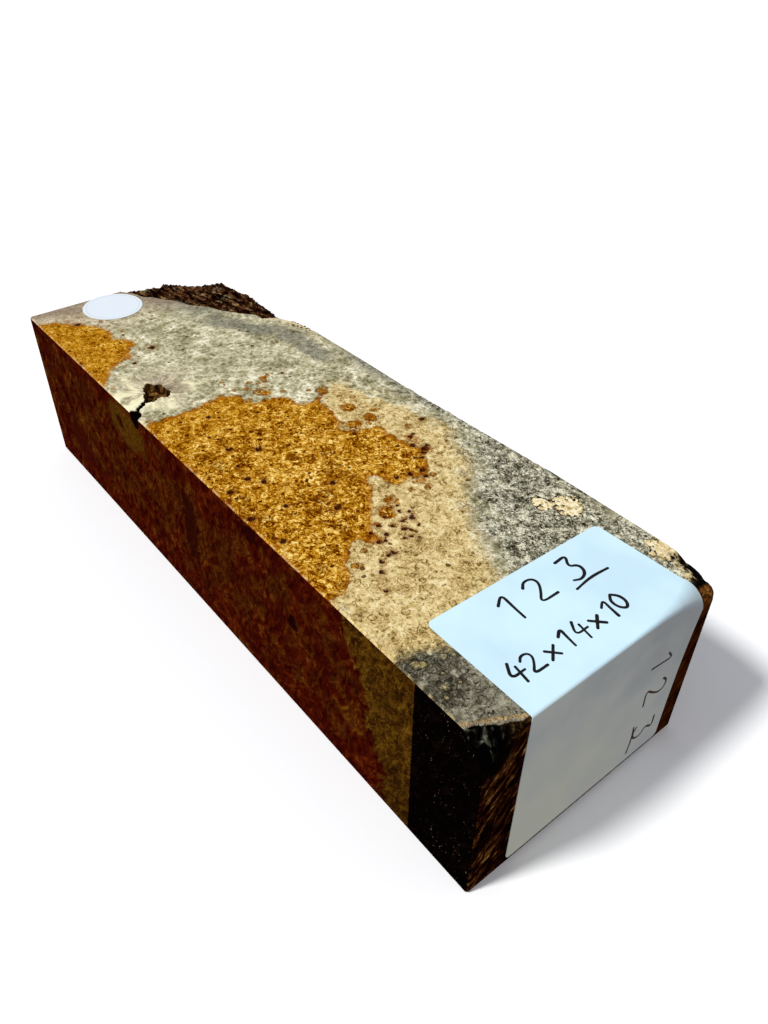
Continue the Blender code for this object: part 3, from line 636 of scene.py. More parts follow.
soft_edge = figure.total((figure.swing(figure.noise(flat_place, 10, 4, 0.7), 0.25, 0.75), 0.34),
                         (figure.swing(curl, 0.3, 0.7), 0.12))
cream_here = figure.band(figure.plus(figure.attribute("cream"), soft_edge), 0.25, 0.75)
grey_here = figure.band(figure.plus(figure.attribute("grey"), soft_edge), 0.15, 1.0)
sapwood = figure.blend(cream_here, pale_wood, cream_wood)
for ratio, width, strength in ((0.95, 0.12, 0.55), (0.55, 0.12, 0.35)):
    sapwood = figure.blend(figure.times(figure.line(faint_eye, ratio, width), strength), sapwood,
                           figure.colour(140, 104, 48))
sapwood = figure.blend(figure.band(faint_eye, 0.2, 0.1, 0.0, 0.6), sapwood, figure.colour(120, 84, 40))
sapwood = figure.blend(grey_here, sapwood, grey_wood)
dissolving = figure.times(figure.band(orange_in, -11, -3), figure.band(stain, 0.42, 0.56))
sapwood = figure.blend(figure.times(dissolving, figure.math("MAXIMUM", in_ring, dot)), sapwood,
                       figure.ramp(curl, (0.3, (128, 72, 12)), (0.65, (196, 146, 54))))
sapwood = figure.blend(figure.times(dissolving, pip_ring), sapwood, figure.colour(104, 58, 16))
few = figure.band(figure.noise(flat_place, 13, 2), 0.44, 0.58, 0.25, 0.9)
sapwood = figure.blend(figure.times(figure.math("MAXIMUM", pip, figure.times(dot, 0.7)), few), sapwood,
                       figure.colour(82, 54, 22))
dark_speck = figure.times(figure.math("MAXIMUM", pip, dot), figure.times(grey_here, grey_share))
dark_speck = figure.times(dark_speck, figure.band(lengthwise, -60, 80, 0.1, 0.75))
sapwood = figure.blend(dark_speck, sapwood, figure.colour(44, 38, 24))

# The stained corner is an even grey, near black and drawn into wiggles round a few pale eyes with dark rims
in_corner = figure.times(figure.band(figure.axis(figure.place, "X"), 158, 168),
                         figure.band(figure.axis(figure.place, "Y"), -40, -50))
corner_wood = figure.ramp(figure.total((1.0, 0.5), (figure.swing(curl, 0.28, 0.72), 0.16), (dark_line, -0.42),
                                       (figure.swing(fine, 0.25, 0.75), 0.07), (pip_ring, -0.4), (dot, -0.2)),
                          (0.1, (40, 36, 26)), (0.35, (92, 88, 72)), (0.52, (128, 123, 105)),
                          (0.85, (184, 176, 150)))
sapwood = figure.blend(figure.times(in_corner, figure.times(grey_here, 0.85)), sapwood, corner_wood)
near_pale = figure.band(figure.plus(pale_eye, figure.swing(stain, 0.3, 0.7, 1.4)), 4.6, 2.4)
wiggle = figure.line(figure.noise(figure.jitter(flat_place, 3, 1.2), 2.8, 3, 0.6, 1.6), 0.5, 0.09)
sapwood = figure.blend(figure.times(near_pale, 0.5), sapwood, figure.colour(66, 60, 44))
rimmed = figure.math("MAXIMUM", figure.line(pale_eye, 1.1, 0.3), figure.times(wiggle, 0.9))
sapwood = figure.blend(figure.times(figure.times(rimmed, near_pale), 0.9), sapwood, figure.colour(24, 21, 14))
sapwood = figure.blend(figure.band(pale_eye, 0.9, 0.3, 0.0, 0.62), sapwood,
                       figure.ramp(fine, (0.36, (104, 86, 46)), (0.5, (166, 146, 90)),
                                   (0.66, (236, 222, 168))))
sapwood = figure.blend(figure.times(figure.line(dark_eye, 0.85, 0.3), 0.75), sapwood,
                       figure.colour(40, 33, 22))

# Round the knot the sapwood is drawn into rays
from_knot = figure.vector("SUBTRACT", figure.jitter(flat_place, 9, 2.2), (-77, -50, 0))
knot_gap = figure.node("ShaderNodeVectorMath", {0: from_knot}, operation="LENGTH").outputs["Value"]
bearing = figure.math("ARCTAN2", figure.axis(from_knot, "Y"), figure.axis(from_knot, "X"))
ray_place = figure.node("ShaderNodeCombineXYZ", {0: figure.times(bearing, 1.7),
                                                 1: figure.times(knot_gap, 0.07)}).outputs[0]
rays = figure.noise(ray_place, 1.0, 3, 0.55, 0.4)
rays = figure.plus(rays, figure.swing(fine, 0.25, 0.75, 0.05))
fine_place = figure.node("ShaderNodeCombineXYZ", {0: figure.times(bearing, 9.0),
                                                  1: figure.times(knot_gap, 0.16)}).outputs[0]
fine_rays = figure.noise(fine_place, 1.0, 3, 0.6, 0.3)
ray_tone = figure.total((rays, 1.0), (figure.swing(fine_rays, 0.3, 0.7, 0.5), 0.12), (1.0, 0.02),
                        (figure.math("COSINE", figure.plus(bearing, 0.9)), 0.1),
                        (figure.band(knot_gap, 5, 14, -1.0, 0.0), 0.05))
ray_wood = figure.ramp(ray_tone, (0.26, (88, 72, 60)), (0.4, (158, 142, 122)), (0.52, (206, 194, 162)),
                       (0.6, (242, 234, 190)), (0.72, (252, 250, 214)))
ray_reach = figure.plus(knot_gap, figure.band(rays, 0.3, 0.7, 9, -9))
sapwood = figure.blend(figure.band(ray_reach, 27, 13, 0.0, 0.9), sapwood, ray_wood)

# Sound pale patches in the stained wood are edged and specked with black; a fringe of them follows the bark
patch_in = figure.total((figure.attribute("patch"), 1.0), (figure.noise(flat_place, 5.5, 4, 0.6), 15.0),
                        (1.0, -8.2))
speck_edge = figure.band(patch_in, 5.0, 0.0, 0.0, 0.08)
speck = figure.band(figure.plus(figure.noise(flat_place, 2.3, 3, 0.6), speck_edge), 0.6, 0.64)
speck_line = figure.times(figure.line(patch_in, 0.2, 1.1), figure.band(curl, 0.4, 0.46))
sound_wood = figure.ramp(tone, (0.2, (198, 172, 118)), (0.5, (234, 215, 166)), (0.8, (250, 240, 204)))
patch_wood = figure.blend(figure.math("MAXIMUM", speck, speck_line), sound_wood, figure.colour(34, 26, 14))
sapwood = figure.blend(figure.band(patch_in, -0.5, 0.0), sapwood, patch_wood)
bark_gap = figure.plus(figure.attribute("bark"),
                       figure.band(figure.noise(flat_place, 5, 3, 0.6), 0.3, 0.7, -2.5, 1.8))
fringe_off = figure.math("ABSOLUTE", figure.plus(figure.axis(figure.place, "X"), 98))
fringe = figure.times(figure.band(bark_gap, -2.8, -1.4, 0.0, 0.85), figure.band(fringe_off, 20, 12))
sapwood = figure.blend(fringe, sapwood, figure.ramp(tone, (0.2, (178, 150, 104)), (0.7, (232, 214, 170))))

# Rusty eyes with dark rims, the row of small cracks beside the bark, and the open bud holes
sapwood = figure.blend(figure.band(rusty_eye, 1.3, 0.7, 0.0, 0.85), sapwood,
                       figure.ramp(tone, (0.2, (118, 66, 12)), (0.45, (170, 118, 36)), (0.62, (202, 156, 66)),
                                   (0.85, (238, 208, 130))))
sapwood = figure.blend(figure.times(figure.line(rusty_eye, 0.9, 0.26), figure.band(fine, 0.4, 0.5, 0.3, 0.9)),
                       sapwood, figure.colour(76, 36, 8))
sapwood = figure.blend(figure.times(figure.line(rusty_eye, 0.42, 0.2), 0.7), sapwood,
                       figure.colour(90, 46, 12))
sapwood = figure.blend(figure.times(figure.band(rusty_eye, 1.6, 1.1),
                                    figure.band(fine, 0.6, 0.66, 0.0, 0.85)), sapwood,
                       figure.colour(60, 28, 8))
sapwood = figure.blend(far_stain, sapwood, figure.colour(174, 138, 116))
sliver_crack = figure.nearest(figure.jitter(flat_place, 2, 0.5),
                              [(-96, 57.4, 1.3), (-93.4, 58.6, 1.1), (-90.5, 59.6, 0.9), (-87, 60.8, 0.8),
                               (-84, 61.6, 0.7)])
sapwood = figure.blend(figure.band(sliver_crack, 1.1, 0.8, 0.0, 0.9), sapwood, figure.colour(40, 24, 14))
wood = figure.blend(is_orange, sapwood, orange_wood)
eye = figure.total((figure.attribute("eye"), 0.9),
                   (figure.swing(figure.noise(flat_place, 1.5, 3, 0.6), 0.25, 0.75), 0.45))
wood = figure.blend(figure.band(eye, 2.2, 1.2, 0.0, 0.5), wood, figure.colour(138, 84, 30))
wood = figure.blend(figure.band(eye, 1.2, 0.8, 0.0, 0.95), wood, figure.colour(56, 16, 5))

# The arris is rubbed paler. Wherever the wood is broken below the sawn face it is dark: the knot, the
# crack, the chipped corner with its golden rim, and the worn one
depth_in = figure.math("SUBTRACT", TOP, figure.axis(figure.place, "Z"))
past_arris = figure.math("SUBTRACT", figure.math("ABSOLUTE", figure.axis(figure.place, "Y")), SIDE_Y - ARRIS)
past_end = figure.math("SUBTRACT", figure.times(lengthwise, -1.0), END_X - ARRIS)
on_arris = figure.math("MAXIMUM", figure.math("MAXIMUM", past_arris, past_end), 0.0)
wood = figure.blend(figure.times(figure.band(on_arris, 0.0, 0.15), figure.band(stain, 0.46, 0.6, 0.0, 0.4)),
                    wood, figure.colour(222, 200, 140))
broken = figure.times(figure.band(figure.math("SUBTRACT", depth_in, on_arris), 0.2, 0.6),
                      figure.band(figure.attribute("eye"), 1.5, 2.0))
torn = figure.blend(figure.band(figure.attribute("knot"), -0.8, 0.4), figure.colour(10, 5, 3),
                    figure.ramp(curl, (0.34, (14, 7, 4)), (0.44, (52, 30, 12)), (0.56, (100, 68, 28)),
                                (0.7, (150, 114, 62))))
mottle = figure.noise(figure.place, 2.6, 4, 0.65, 0.6)
edge_cream = figure.band(depth_in, 3.6, 1.2, -0.12, 0.1)
torn_end = figure.ramp(figure.plus(mottle, edge_cream), (0.44, (9, 7, 6)), (0.54, (40, 34, 26)),
                       (0.6, (150, 132, 92)), (0.68, (226, 206, 158)))
brown_end = figure.ramp(mottle, (0.3, (24, 8, 3)), (0.5, (92, 54, 22)), (0.66, (176, 124, 60)))
torn_end = figure.blend(figure.band(figure.axis(figure.place, "X"), 204.5, 206.5), torn_end, brown_end)
# Painted highlight: grey-green glints on the chipped corner's black wax stand for reflections of the room
chip_painted_glint = figure.noise(figure.vector("MULTIPLY", figure.place, (1.0, 1.0, 0.5)), 4.2, 4, 0.55, 0.8)
chip_black_with_painted_glints = figure.ramp(chip_painted_glint, (0.52, (3, 2, 2)), (0.6, (16, 14, 11)), (0.69, (74, 78, 64)),
                         (0.78, (170, 176, 158)))
chip_brown = figure.ramp(mottle, (0.42, (8, 5, 3)), (0.54, (44, 28, 12)), (0.66, (104, 76, 38)))
chip_black_with_painted_glints = figure.blend(figure.band(figure.axis(figure.place, "Y"), -60, -50, 0.0, 0.9), chip_black_with_painted_glints,
                          chip_brown)
torn_end = figure.blend(figure.band(figure.axis(figure.place, "Y"), 10, 0), torn_end, chip_black_with_painted_glints)
torn = figure.blend(figure.band(figure.axis(figure.place, "X"), 172, 178), torn, torn_end)
past_chip = figure.node("ShaderNodeVectorMath", {0: figure.jitter(flat_place, 3, 1.6), 1: (0.877, -0.48, 0)},
                        operation="DOT_PRODUCT").outputs["Value"]
chip_rim = figure.times(figure.line(past_chip, 205.2, 1.7), figure.band(curl, 0.34, 0.56, 0.25, 1.1))
chip_gold = figure.ramp(fine, (0.35, (82, 58, 28)), (0.5, (166, 130, 80)), (0.65, (214, 186, 132)))
wood = figure.blend(figure.times(chip_rim, 0.75), wood, chip_gold)
wood = figure.blend(broken, wood, torn)
relief = figure.total((curl, 1.0), (pip, -0.7), (fine, 0.4))
figured_face = figure.finish(wood, figure.band(curl, 0.2, 0.8, 0.66, 0.5), figure.bump(relief, 0.1),
                             Specular_IOR_Level=0.0)

# The bark is thin, brown and flaky, pale where a scale has come away and nearly black in the furrows.
bark = Finish("burl_bark")
bark_place = bark.jitter(bark.place, 9, 1.6)
_, flake_kind = bark.cells(bark.vector("MULTIPLY", bark_place, (0.55, 1.0, 1.0)), 3.0)
crumb = bark.noise(bark.vector("MULTIPLY", bark_place, (0.5, 1.0, 1.0)), 1.3, 4, 0.65)
lump = bark.noise(bark.vector("MULTIPLY", bark_place, (0.4, 1.0, 1.2)), 5.0, 4, 0.6)
bark_tone = bark.plus(bark.band(lump, 0.28, 0.72, -0.05, 0.8), bark.swing(crumb, 0.25, 0.75, 0.22))
bark_tone = bark.plus(bark_tone, bark.swing(bark.axis(flake_kind, "X"), 0.0, 1.0, 0.12))
bark_wood = bark.ramp(bark_tone, (0.08, (8, 3, 3)), (0.3, (36, 14, 8)), (0.5, (72, 40, 20)),
                      (0.7, (112, 80, 48)), (0.95, (172, 146, 100)))
lichen = bark.times(bark.band(bark.noise(bark_place, 13, 3, 0.6), 0.56, 0.66), bark.band(crumb, 0.45, 0.6))
bark_wood = bark.blend(bark.times(lichen, 0.6), bark_wood, bark.colour(150, 142, 108))
from_line = bark.attribute("bark")
# Painted shadow: a near-black line on the bark just past the sawn wood's edge, where the bark steps down
painted_seam_shadow = bark.times(bark.band(bark.plus(from_line, bark.swing(crumb, 0.3, 0.7)), 2.2, 0.8),
                  bark.band(from_line, 0.0, 0.05))
bark_wood = bark.blend(painted_seam_shadow, bark_wood, bark.colour(20, 9, 6))
bark_face = bark.finish(bark_wood, 0.92, bark.bump(bark.plus(crumb, lump), 0.6), Specular_IOR_Level=0.0)

# The sawn sides and ends are sealed with clear wax, which makes them deep red-brown with a flamed grain. The
# last stretch before the labelled end was dipped again in black wax, with one straight edge all round.
GRAIN_ALONG = (0.45, 0.25, 0.86)
END_GRAIN = (0.0, 0.65, 0.76)
DIP_X = 171.0
GOLD_FROM = [(5, 152), (30, 150), (50, 140), (60, 143), (70, 138), (85, 131), (98, 125)]
# Stains in the visible side (place, reach, colour): olive, a red spot in it, a dead bud and three dark ones
SIDE_PATCHES = [((-76, -70, 87), (23, 30, 14), (64, 43, 9)), ((-83, -70, 87), (4, 9, 4), (34, 6, 4)),
                ((88, -70, 62), (4.5, 9, 5.5), (16, 3, 4)), ((53, -70, 96), (8, 9, 6), (26, 4, 5)),
                ((-12, -70, 58), (9, 20, 30), (34, 8, 4)), ((-165, -70, 30), (16, 20, 22), (46, 12, 5))]
side = Finish("burl_sealed_sides")
bent_side = side.jitter(side.jitter(side.place, 30, 7), 7, 1.8)
along = side.node("ShaderNodeVectorMath", {0: bent_side, 1: GRAIN_ALONG},
                  operation="DOT_PRODUCT").outputs["Value"]
drawn = side.vector("SUBTRACT", bent_side, side.vector("SCALE", GRAIN_ALONG, side.times(along, 0.62)))
flame = side.noise(drawn, 3.6, 4, 0.62, 0.7)
fibre = side.noise(drawn, 1.2, 3, 0.6)
cloud = side.noise(bent_side, 13, 3, 0.6)
across, high = side.axis(side.place, "X"), side.axis(side.place, "Z")
side_tone = side.total((1.0, 0.5), (side.swing(flame, 0.28, 0.72), 0.24),
                       (side.swing(fibre, 0.25, 0.75), 0.11), (side.swing(cloud, 0.3, 0.7), 0.1))
red_wood = side.ramp(side_tone, (0.05, (22, 1, 2)), (0.3, (44, 5, 3)), (0.5, (60, 13, 4)), (0.7, (78, 25, 5)),
                     (0.95, (118, 56, 14)))
brown_wood = side.ramp(side_tone, (0.05, (32, 8, 3)), (0.3, (50, 18, 4)), (0.5, (66, 31, 6)),
                       (0.7, (84, 47, 9)), (0.95, (122, 84, 26)))
middle_high = side.times(side.band(high, 8, 34), side.band(high, 100, 76))
brown_here = side.total((side.noise(side.jitter(side.place, 9, 3), 11, 3, 0.6), 1.0), (middle_high, 0.12),
                        (side.swing(flame, 0.3, 0.7), 0.06))
sealed = side.blend(side.band(brown_here, 0.5, 0.74, 0.0, 0.85), red_wood, brown_wood)

# Towards the dip the heartwood ends in gold sapwood with brown squiggles, more of them low down
gold_tone = side.plus(side_tone, side.swing(side.noise(side.place, 0.8, 3, 0.6), 0.3, 0.7, 0.14))
gold_wood = side.ramp(gold_tone, (0.05, (24, 9, 3)), (0.3, (46, 26, 6)), (0.5, (74, 50, 10)),
                      (0.75, (106, 78, 18)), (0.95, (146, 116, 46)))
squiggle = side.line(side.noise(side.jitter(side.place, 4, 1.5), 4.5, 3, 0.6, 1.4), 0.5, 0.035)
squiggle = side.times(squiggle, side.times(side.band(high, 96, 30, 0.25, 0.9), side.band(cloud, 0.36, 0.56)))
gold_wood = side.blend(squiggle, gold_wood, side.colour(34, 14, 4))
gold_wood = side.blend(side.band(high, 44, 14, 0.0, 0.35), gold_wood, side.colour(34, 20, 5))
gold_curve = side.node("ShaderNodeFloatCurve", {"Factor": 1.0, "Value": side.times(high, 1 / TOP)})
knots = gold_curve.mapping.curves[0].points
for level, place in GOLD_FROM[1:-1]:
    knots.new(level / TOP, place / 200)
knots[0].location, knots[len(knots) - 1].location = (0, GOLD_FROM[0][1] / 200), (1, GOLD_FROM[-1][1] / 200)
gold_curve.mapping.update()
gold_in = side.math("SUBTRACT", side.axis(side.jitter(side.jitter(side.place, 9, 4), 2.5, 1.6), "X"),
                    side.times(gold_curve.outputs[0], 200))
gold_in = side.plus(gold_in, side.swing(flame, 0.3, 0.7, 5.0))
gold_wood = side.blend(side.band(cloud, 0.5, 0.66, 0.0, 0.6), gold_wood, side.colour(46, 24, 6))
sealed = side.blend(side.band(gold_in, -3.0, 4.0, 0.0, 0.92), sealed, gold_wood)
for place, reach, colour in SIDE_PATCHES:
    gap = side.vector("DIVIDE", side.vector("SUBTRACT", side.jitter(bent_side, 5, 2.5), place), reach)
    gap = side.node("ShaderNodeVectorMath", {0: gap}, operation="LENGTH").outputs["Value"]
    gap = side.plus(gap, side.swing(flame, 0.2, 0.8, 0.3))
    stained = side.blend(side.band(fibre, 0.4, 0.62, 0.0, 0.7), side.colour(*colour),
                         side.colour(*[c * 1.6 for c in colour]))
    sealed = side.blend(side.band(gap, 1.05, 0.75, 0.0, 0.9), sealed, stained)

# The dipped stretch is near black, with dull white flecks painted as highlights on the rough wax; the end
# grain is mottled
end_place = side.jitter(side.place, 6, 2.0)
end_along = side.node("ShaderNodeVectorMath", {0: end_place, 1: END_GRAIN},
                      operation="DOT_PRODUCT").outputs["Value"]
end_drawn = side.vector("SUBTRACT", end_place, side.vector("SCALE", END_GRAIN, side.times(end_along, 0.7)))
end_mottle = side.noise(end_drawn, 3.6, 3, 0.58, 0.5)
end_tone = side.total((side.band(end_mottle, 0.3, 0.7), 0.66),
                      (side.swing(side.noise(end_drawn, 0.9, 3, 0.6), 0.3, 0.7), 0.12),
                      (side.band(high, 50, 98), 0.1), (side.swing(cloud, 0.3, 0.7), 0.2))
end_wood = side.ramp(end_tone, (0.1, (10, 3, 3)), (0.36, (30, 10, 7)), (0.52, (62, 32, 12)),
                     (0.68, (110, 76, 30)), (0.84, (170, 144, 88)), (0.97, (220, 206, 162)))
right_wood = side.ramp(end_tone, (0.1, (32, 13, 3)), (0.4, (60, 29, 6)), (0.65, (78, 43, 10)),
                       (0.95, (98, 62, 20)))
end_wood = side.blend(side.band(side.axis(side.place, "Y"), 40, 50), end_wood, right_wood)
# Painted highlight: white flecks stand for glints on the rough wax, more of them towards the end
painted_glint_spread = side.times(side.band(across, 172, 196, 0.2, 1.0),
                     side.band(side.noise(side.place, 14, 2), 0.42, 0.6))
dip_painted_glint = side.times(side.band(side.noise(drawn, 1.0, 3, 0.6), 0.64, 0.72), painted_glint_spread)
dipped = side.blend(side.band(flame, 0.5, 0.7), side.colour(4, 2, 1.5), side.colour(15, 7, 5))
dipped = side.blend(dip_painted_glint, dipped, side.colour(128, 122, 110))
from_chip = side.node("ShaderNodeVectorMath", {0: side.jitter(side.place, 4, 3.0), 1: (205, -66, 92)},
                      operation="DISTANCE").outputs["Value"]
end_wood = side.blend(side.band(from_chip, 17, 9), end_wood, side.colour(10, 6, 4))
dip_edge = side.axis(side.jitter(side.place, 3, 0.5), "X")
sealed = side.blend(side.band(dip_edge, DIP_X - 0.3, DIP_X + 0.3), sealed, dipped)
sealed = side.blend(side.band(across, END_X - 0.7, END_X - 0.4), sealed, end_wood)
side_rough = side.band(across, DIP_X - 0.3, DIP_X + 0.3, 0.55, 0.42)
sealed_side = side.finish(sealed, side_rough, side.bump(flame, 0.15), Specular_IOR_Level=0.0)

for material in (figured_face, bark_face, sealed_side):
    block.data.materials.append(material)
SAWN, BARKY, SEALED = range(3)
middles = np.array([face.center[:2] for face in block.data.polygons]) / MM
off_line = to_line(middles, BARK_LINE)
for face, out in zip(block.data.polygons, off_line):
    if face.index >= len(triangles) + count:
        face.material_index = SEALED
    elif out > 0:
        face.material_index = BARKY
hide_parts("burl_block")
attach(block, "root")

# The label is one paper sheet, pressed down on the top, round the near arris and down the end. It is about
# 6 by 4 inches, and its right-hand side follows the photograph, which is wider over the worn corner.
LABEL_START_X, LABEL_SLANT, LABEL_LEFT_Y, LABEL_CORNER, LABEL_LOW_Z = 152.3, 0.02, -47.4, 3.0, 3.0
LABEL_RIGHT = {"top": (54.2, 55.5), "roll": (55.5, 61.5), "end": (61.5, 57.0)}
LABEL_LENGTHS = {"top": 50.0, "roll": 8.0, "end": 92.0}
LABEL_ROLL_RUN = [(11, 1.5), (28, 2.5), (43, 5), (55, 10), (62, 14)]
LABEL_ROLL_DROP = [(11, 1.3), (28, 2), (43, 4.8), (50, 8), (58.7, 13), (62, 13.8)]
LABEL_UNDER, LABEL_FACE, LABEL_SPRING = 0.1, 0.34, 0.2
LABEL_GRID = 1.6


def label_right(part, share):
    """The label's right-hand edge, part way along its top, its fold or its end."""
    first, last = LABEL_RIGHT[part]
    return last + (first - last) * ((1 - share) ** 3 if part == "end" else 1 - share)


def label_point(part, share, y, lift):
    """A point on the label, held a little above the wood."""
    run, drop = float(lookup(LABEL_ROLL_RUN, y)), float(lookup(LABEL_ROLL_DROP, y))
    turn = {"top": 0.0, "roll": share, "end": 1.0}[part] * math.pi / 2
    lift += LABEL_SPRING * math.sin(2 * turn)
    slope = Vector((math.sin(turn) / run, 0, math.cos(turn) / drop)).normalized()
    x, z = END_X - run * (1 - math.sin(turn)), TOP - drop * (1 - math.cos(turn))
    if part == "top":
        start = LABEL_START_X + LABEL_SLANT * y
        x = start + (x - start) * share
    if part == "end":
        z += (LABEL_LOW_Z - z) * share
    return Vector((x + lift * slope.x, y, z + lift * slope.z)) * MM


def place_piece(name, verts, faces, material):
    """Make one object out of points in metres, with its faces turned outwards."""
    piece = bpy.data.objects.new(name, bpy.data.meshes.new(name))
    shell = bmesh.new()
    made = [shell.verts.new(v) for v in verts]
    for face in faces:
        shell.faces.new([made[i] for i in face])
    bmesh.ops.recalc_face_normals(shell, faces=shell.faces)
    shell.to_mesh(piece.data)
    shell.free()
    piece.data.materials.append(material)
    bpy.context.scene.collection.objects.link(piece)
    return piece


def sheet_faces(rows, columns):
    """Faces of a closed sheet: a grid of faces on top, the same below, and a strip round the edge."""
    faces = []
    for level, below in ((0, False), (rows * columns, True)):
        for i in range(rows - 1):
            for j in range(columns - 1):
                a = level + i * columns + j
                quad = (a, a + 1, a + columns + 1, a + columns)
                faces.append(quad[::-1] if below else quad)
    edge = list(range(columns)) + [i * columns + columns - 1 for i in range(1, rows)]
    edge += [(rows - 1) * columns + j for j in range(columns - 2, -1, -1)]
    edge += [i * columns for i in range(rows - 2, 0, -1)]
    for a, b in zip(edge, edge[1:] + edge[:1]):
        faces.append((a, b, b + rows * columns, a + rows * columns))
    return faces


label_rows = []
for part, length in LABEL_LENGTHS.items():
    near_corner = [d / length for d in (0, 0.15, 0.5, 1.0, 1.7, 2.4)] if part != "roll" else [0]
    plain_rows = list(np.linspace(LABEL_CORNER / length if part != "roll" else 0.12, 1,
                                  int(length / LABEL_GRID) + 6))
    shares = near_corner + plain_rows if part != "end" else (
        [1 - s for s in plain_rows[:-1]][::-1] + [1 - s for s in near_corner][::-1])
    label_rows += [(part, share) for share in shares if part == "top" or share > 0]
label_columns = int((LABEL_RIGHT["top"][0] - LABEL_LEFT_Y) / LABEL_GRID)
sheet = []
for lift in (LABEL_FACE, LABEL_UNDER):
    for part, share in label_rows:
        from_edge = {"top": share, "roll": 1, "end": 1 - share}[part] * LABEL_LENGTHS[part]
        short = max(0.0, LABEL_CORNER - from_edge)
        inset = LABEL_CORNER - math.sqrt(LABEL_CORNER ** 2 - min(short, LABEL_CORNER) ** 2)
        left, right = LABEL_LEFT_Y + inset, label_right(part, share) - inset
        for step in range(label_columns + 1):
            sheet.append(label_point(part, share, left + (right - left) * step / label_columns, lift))

paper = Finish("label_paper")
paper_cloud = paper.noise(paper.place, 30, 2)
paper_colour = paper.ramp(paper_cloud, (0.35, (202, 232, 246)), (0.65, (212, 242, 252)))
paper_high, paper_side = paper.axis(paper.place, "Z"), paper.axis(paper.place, "Y")
# Painted shading on the label's end: darker towards the top and the right-hand side and lighter low down,
# standing in for light thrown up from the table, with random mottling
painted_shade_and_mottle = paper.total((paper.band(paper_high, 98, 20), 0.5), (paper.band(paper_side, 60, -40), 0.5),
                     (paper.swing(paper_cloud, 0.3, 0.7, 0.5), 0.3))
on_end = paper.band(paper.axis(paper.place, "X"), END_X - 1.0, END_X - 0.2)
paper_colour = paper.blend(on_end, paper_colour, paper.ramp(painted_shade_and_mottle, (0.1, (186, 216, 234)),
                                                            (0.5, (210, 242, 255)), (0.95, (224, 255, 255))))
label_paper = paper.finish(paper_colour, 0.6, paper.bump(paper.noise(paper.place, 14, 2), 0.25),
                           Specular_IOR_Level=0.2)
label = place_piece("label_sheet", sheet, sheet_faces(len(label_rows), label_columns + 1), label_paper)
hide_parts("end_label")
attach(label, "root")

# The label is written on with a black felt pen: plain numbers in two lines on the top, the first line again
# down the end. Each stroke is a line on the paper that Geometry Nodes give a flat, round-edged width.
PEN_WIDTH, PEN_THICKNESS = 1.35, 0.07
DIGITS = {
    "1": [[(0.15, 0.72), (0.5, 1.0), (0.46, 0.5), (0.44, 0.0)]],
    "2": [[(0.08, 0.78), (0.28, 0.98), (0.58, 0.95), (0.66, 0.72), (0.45, 0.4), (0.06, 0.02), (0.8, 0.05)]],
    "3": [[(0.08, 0.95), (0.6, 0.98), (0.3, 0.6), (0.64, 0.45), (0.6, 0.12), (0.3, -0.02), (0.05, 0.1)]],
    "4": [[(0.42, 1.0), (0.1, 0.4), (0.82, 0.42)], [(0.6, 0.72), (0.56, -0.04)]],
    "0": [[(0.4, 1.0), (0.12, 0.72), (0.12, 0.28), (0.4, 0.0), (0.68, 0.28), (0.7, 0.72), (0.44, 1.0)]],
    "x": [[(0.1, 0.5), (0.6, 0.02)], [(0.6, 0.52), (0.08, 0.0)]],
    "_": [[(-0.25, -0.16), (0.45, -0.1), (1.15, -0.2)]],
}
# Text, its place on the paper, letter height and step, and the ways that the writing runs and stands
WRITING = [("top", "1", (173.8, -20.5), 15.5, (0.0, 1.0), (-1.0, 0.04)),
           ("top", "2", (172.6, -3.5), 14.0, (0.04, 1.0), (-1.0, 0.0)),
           ("top", "3", (173.2, 17.5), 14.5, (-0.03, 1.0), (-1.0, 0.1)),
           ("top", "_", (173.6, 19.0), 14.5, (-0.05, 1.0), (-1.0, 0.0)),
           ("top", "4", (197.0, -42.5), 10.5, (0.0, 1.0), (-1.0, 0.1)),
           ("top", "2", (196.6, -33.0), 10.0, (0.05, 1.0), (-1.0, 0.0)),
           ("top", "x", (196.2, -22.5), 10.0, (0.0, 1.0), (-1.0, 0.1)),
           ("top", "1", (196.6, -13.5), 10.0, (0.0, 1.0), (-1.0, 0.1)),
           ("top", "4", (197.2, -6.5), 10.0, (0.0, 1.0), (-1.0, 0.12)),
           ("top", "x", (196.0, 4.0), 10.0, (0.06, 1.0), (-1.0, 0.0)),
           ("top", "1", (196.8, 12.5), 10.0, (0.0, 1.0), (-1.0, 0.1)),
           ("top", "0", (196.2, 19.5), 9.5, (0.04, 1.0), (-1.0, 0.0)),
           ("end", "1", (32.5, 76.0), 15.0, (0.0, -1.0), (1.0, -0.1)),
           ("end", "2", (33.5, 55.0), 16.0, (0.05, -1.0), (1.0, 0.0)),
           ("end", "3", (33.5, 27.5), 16.5, (0.0, -1.0), (1.0, -0.12)),
           ("end", "_", (35.0, 25.0), 14.0, (0.03, -1.0), (1.0, 0.0))]


def rounded(points, rounds=3):
    """Cut the corners of a stroke until it runs smoothly, as a pen does."""
    for _ in range(rounds):
        cut = [points[0]]
        for a, b in zip(points, points[1:]):
            cut += [(a[0] * 0.75 + b[0] * 0.25, a[1] * 0.75 + b[1] * 0.25),
                    (a[0] * 0.25 + b[0] * 0.75, a[1] * 0.25 + b[1] * 0.75)]
        points = cut + [points[-1]]
    return points


def on_paper(face, place):
    """Where a point of the writing lies on the paper: on the top by x and y, on the end by y and z."""
    lift = LABEL_FACE + PEN_THICKNESS * 0.3
    if face == "top":
        return Vector((place[0], place[1], TOP + lift)) * MM
    return Vector((END_X + lift, place[0], place[1])) * MM


strokes, links = [], []
for face, sign, start, height, across, up in WRITING:
    for line in DIGITS[sign]:
        line = rounded([(start[0] + height * (u * across[0] + v * up[0]),
                         start[1] + height * (u * across[1] + v * up[1])) for u, v in line])
        links += [(len(strokes) + i, len(strokes) + i + 1) for i in range(len(line) - 1)]
        strokes += [(face, on_paper(face, p)) for p in line]


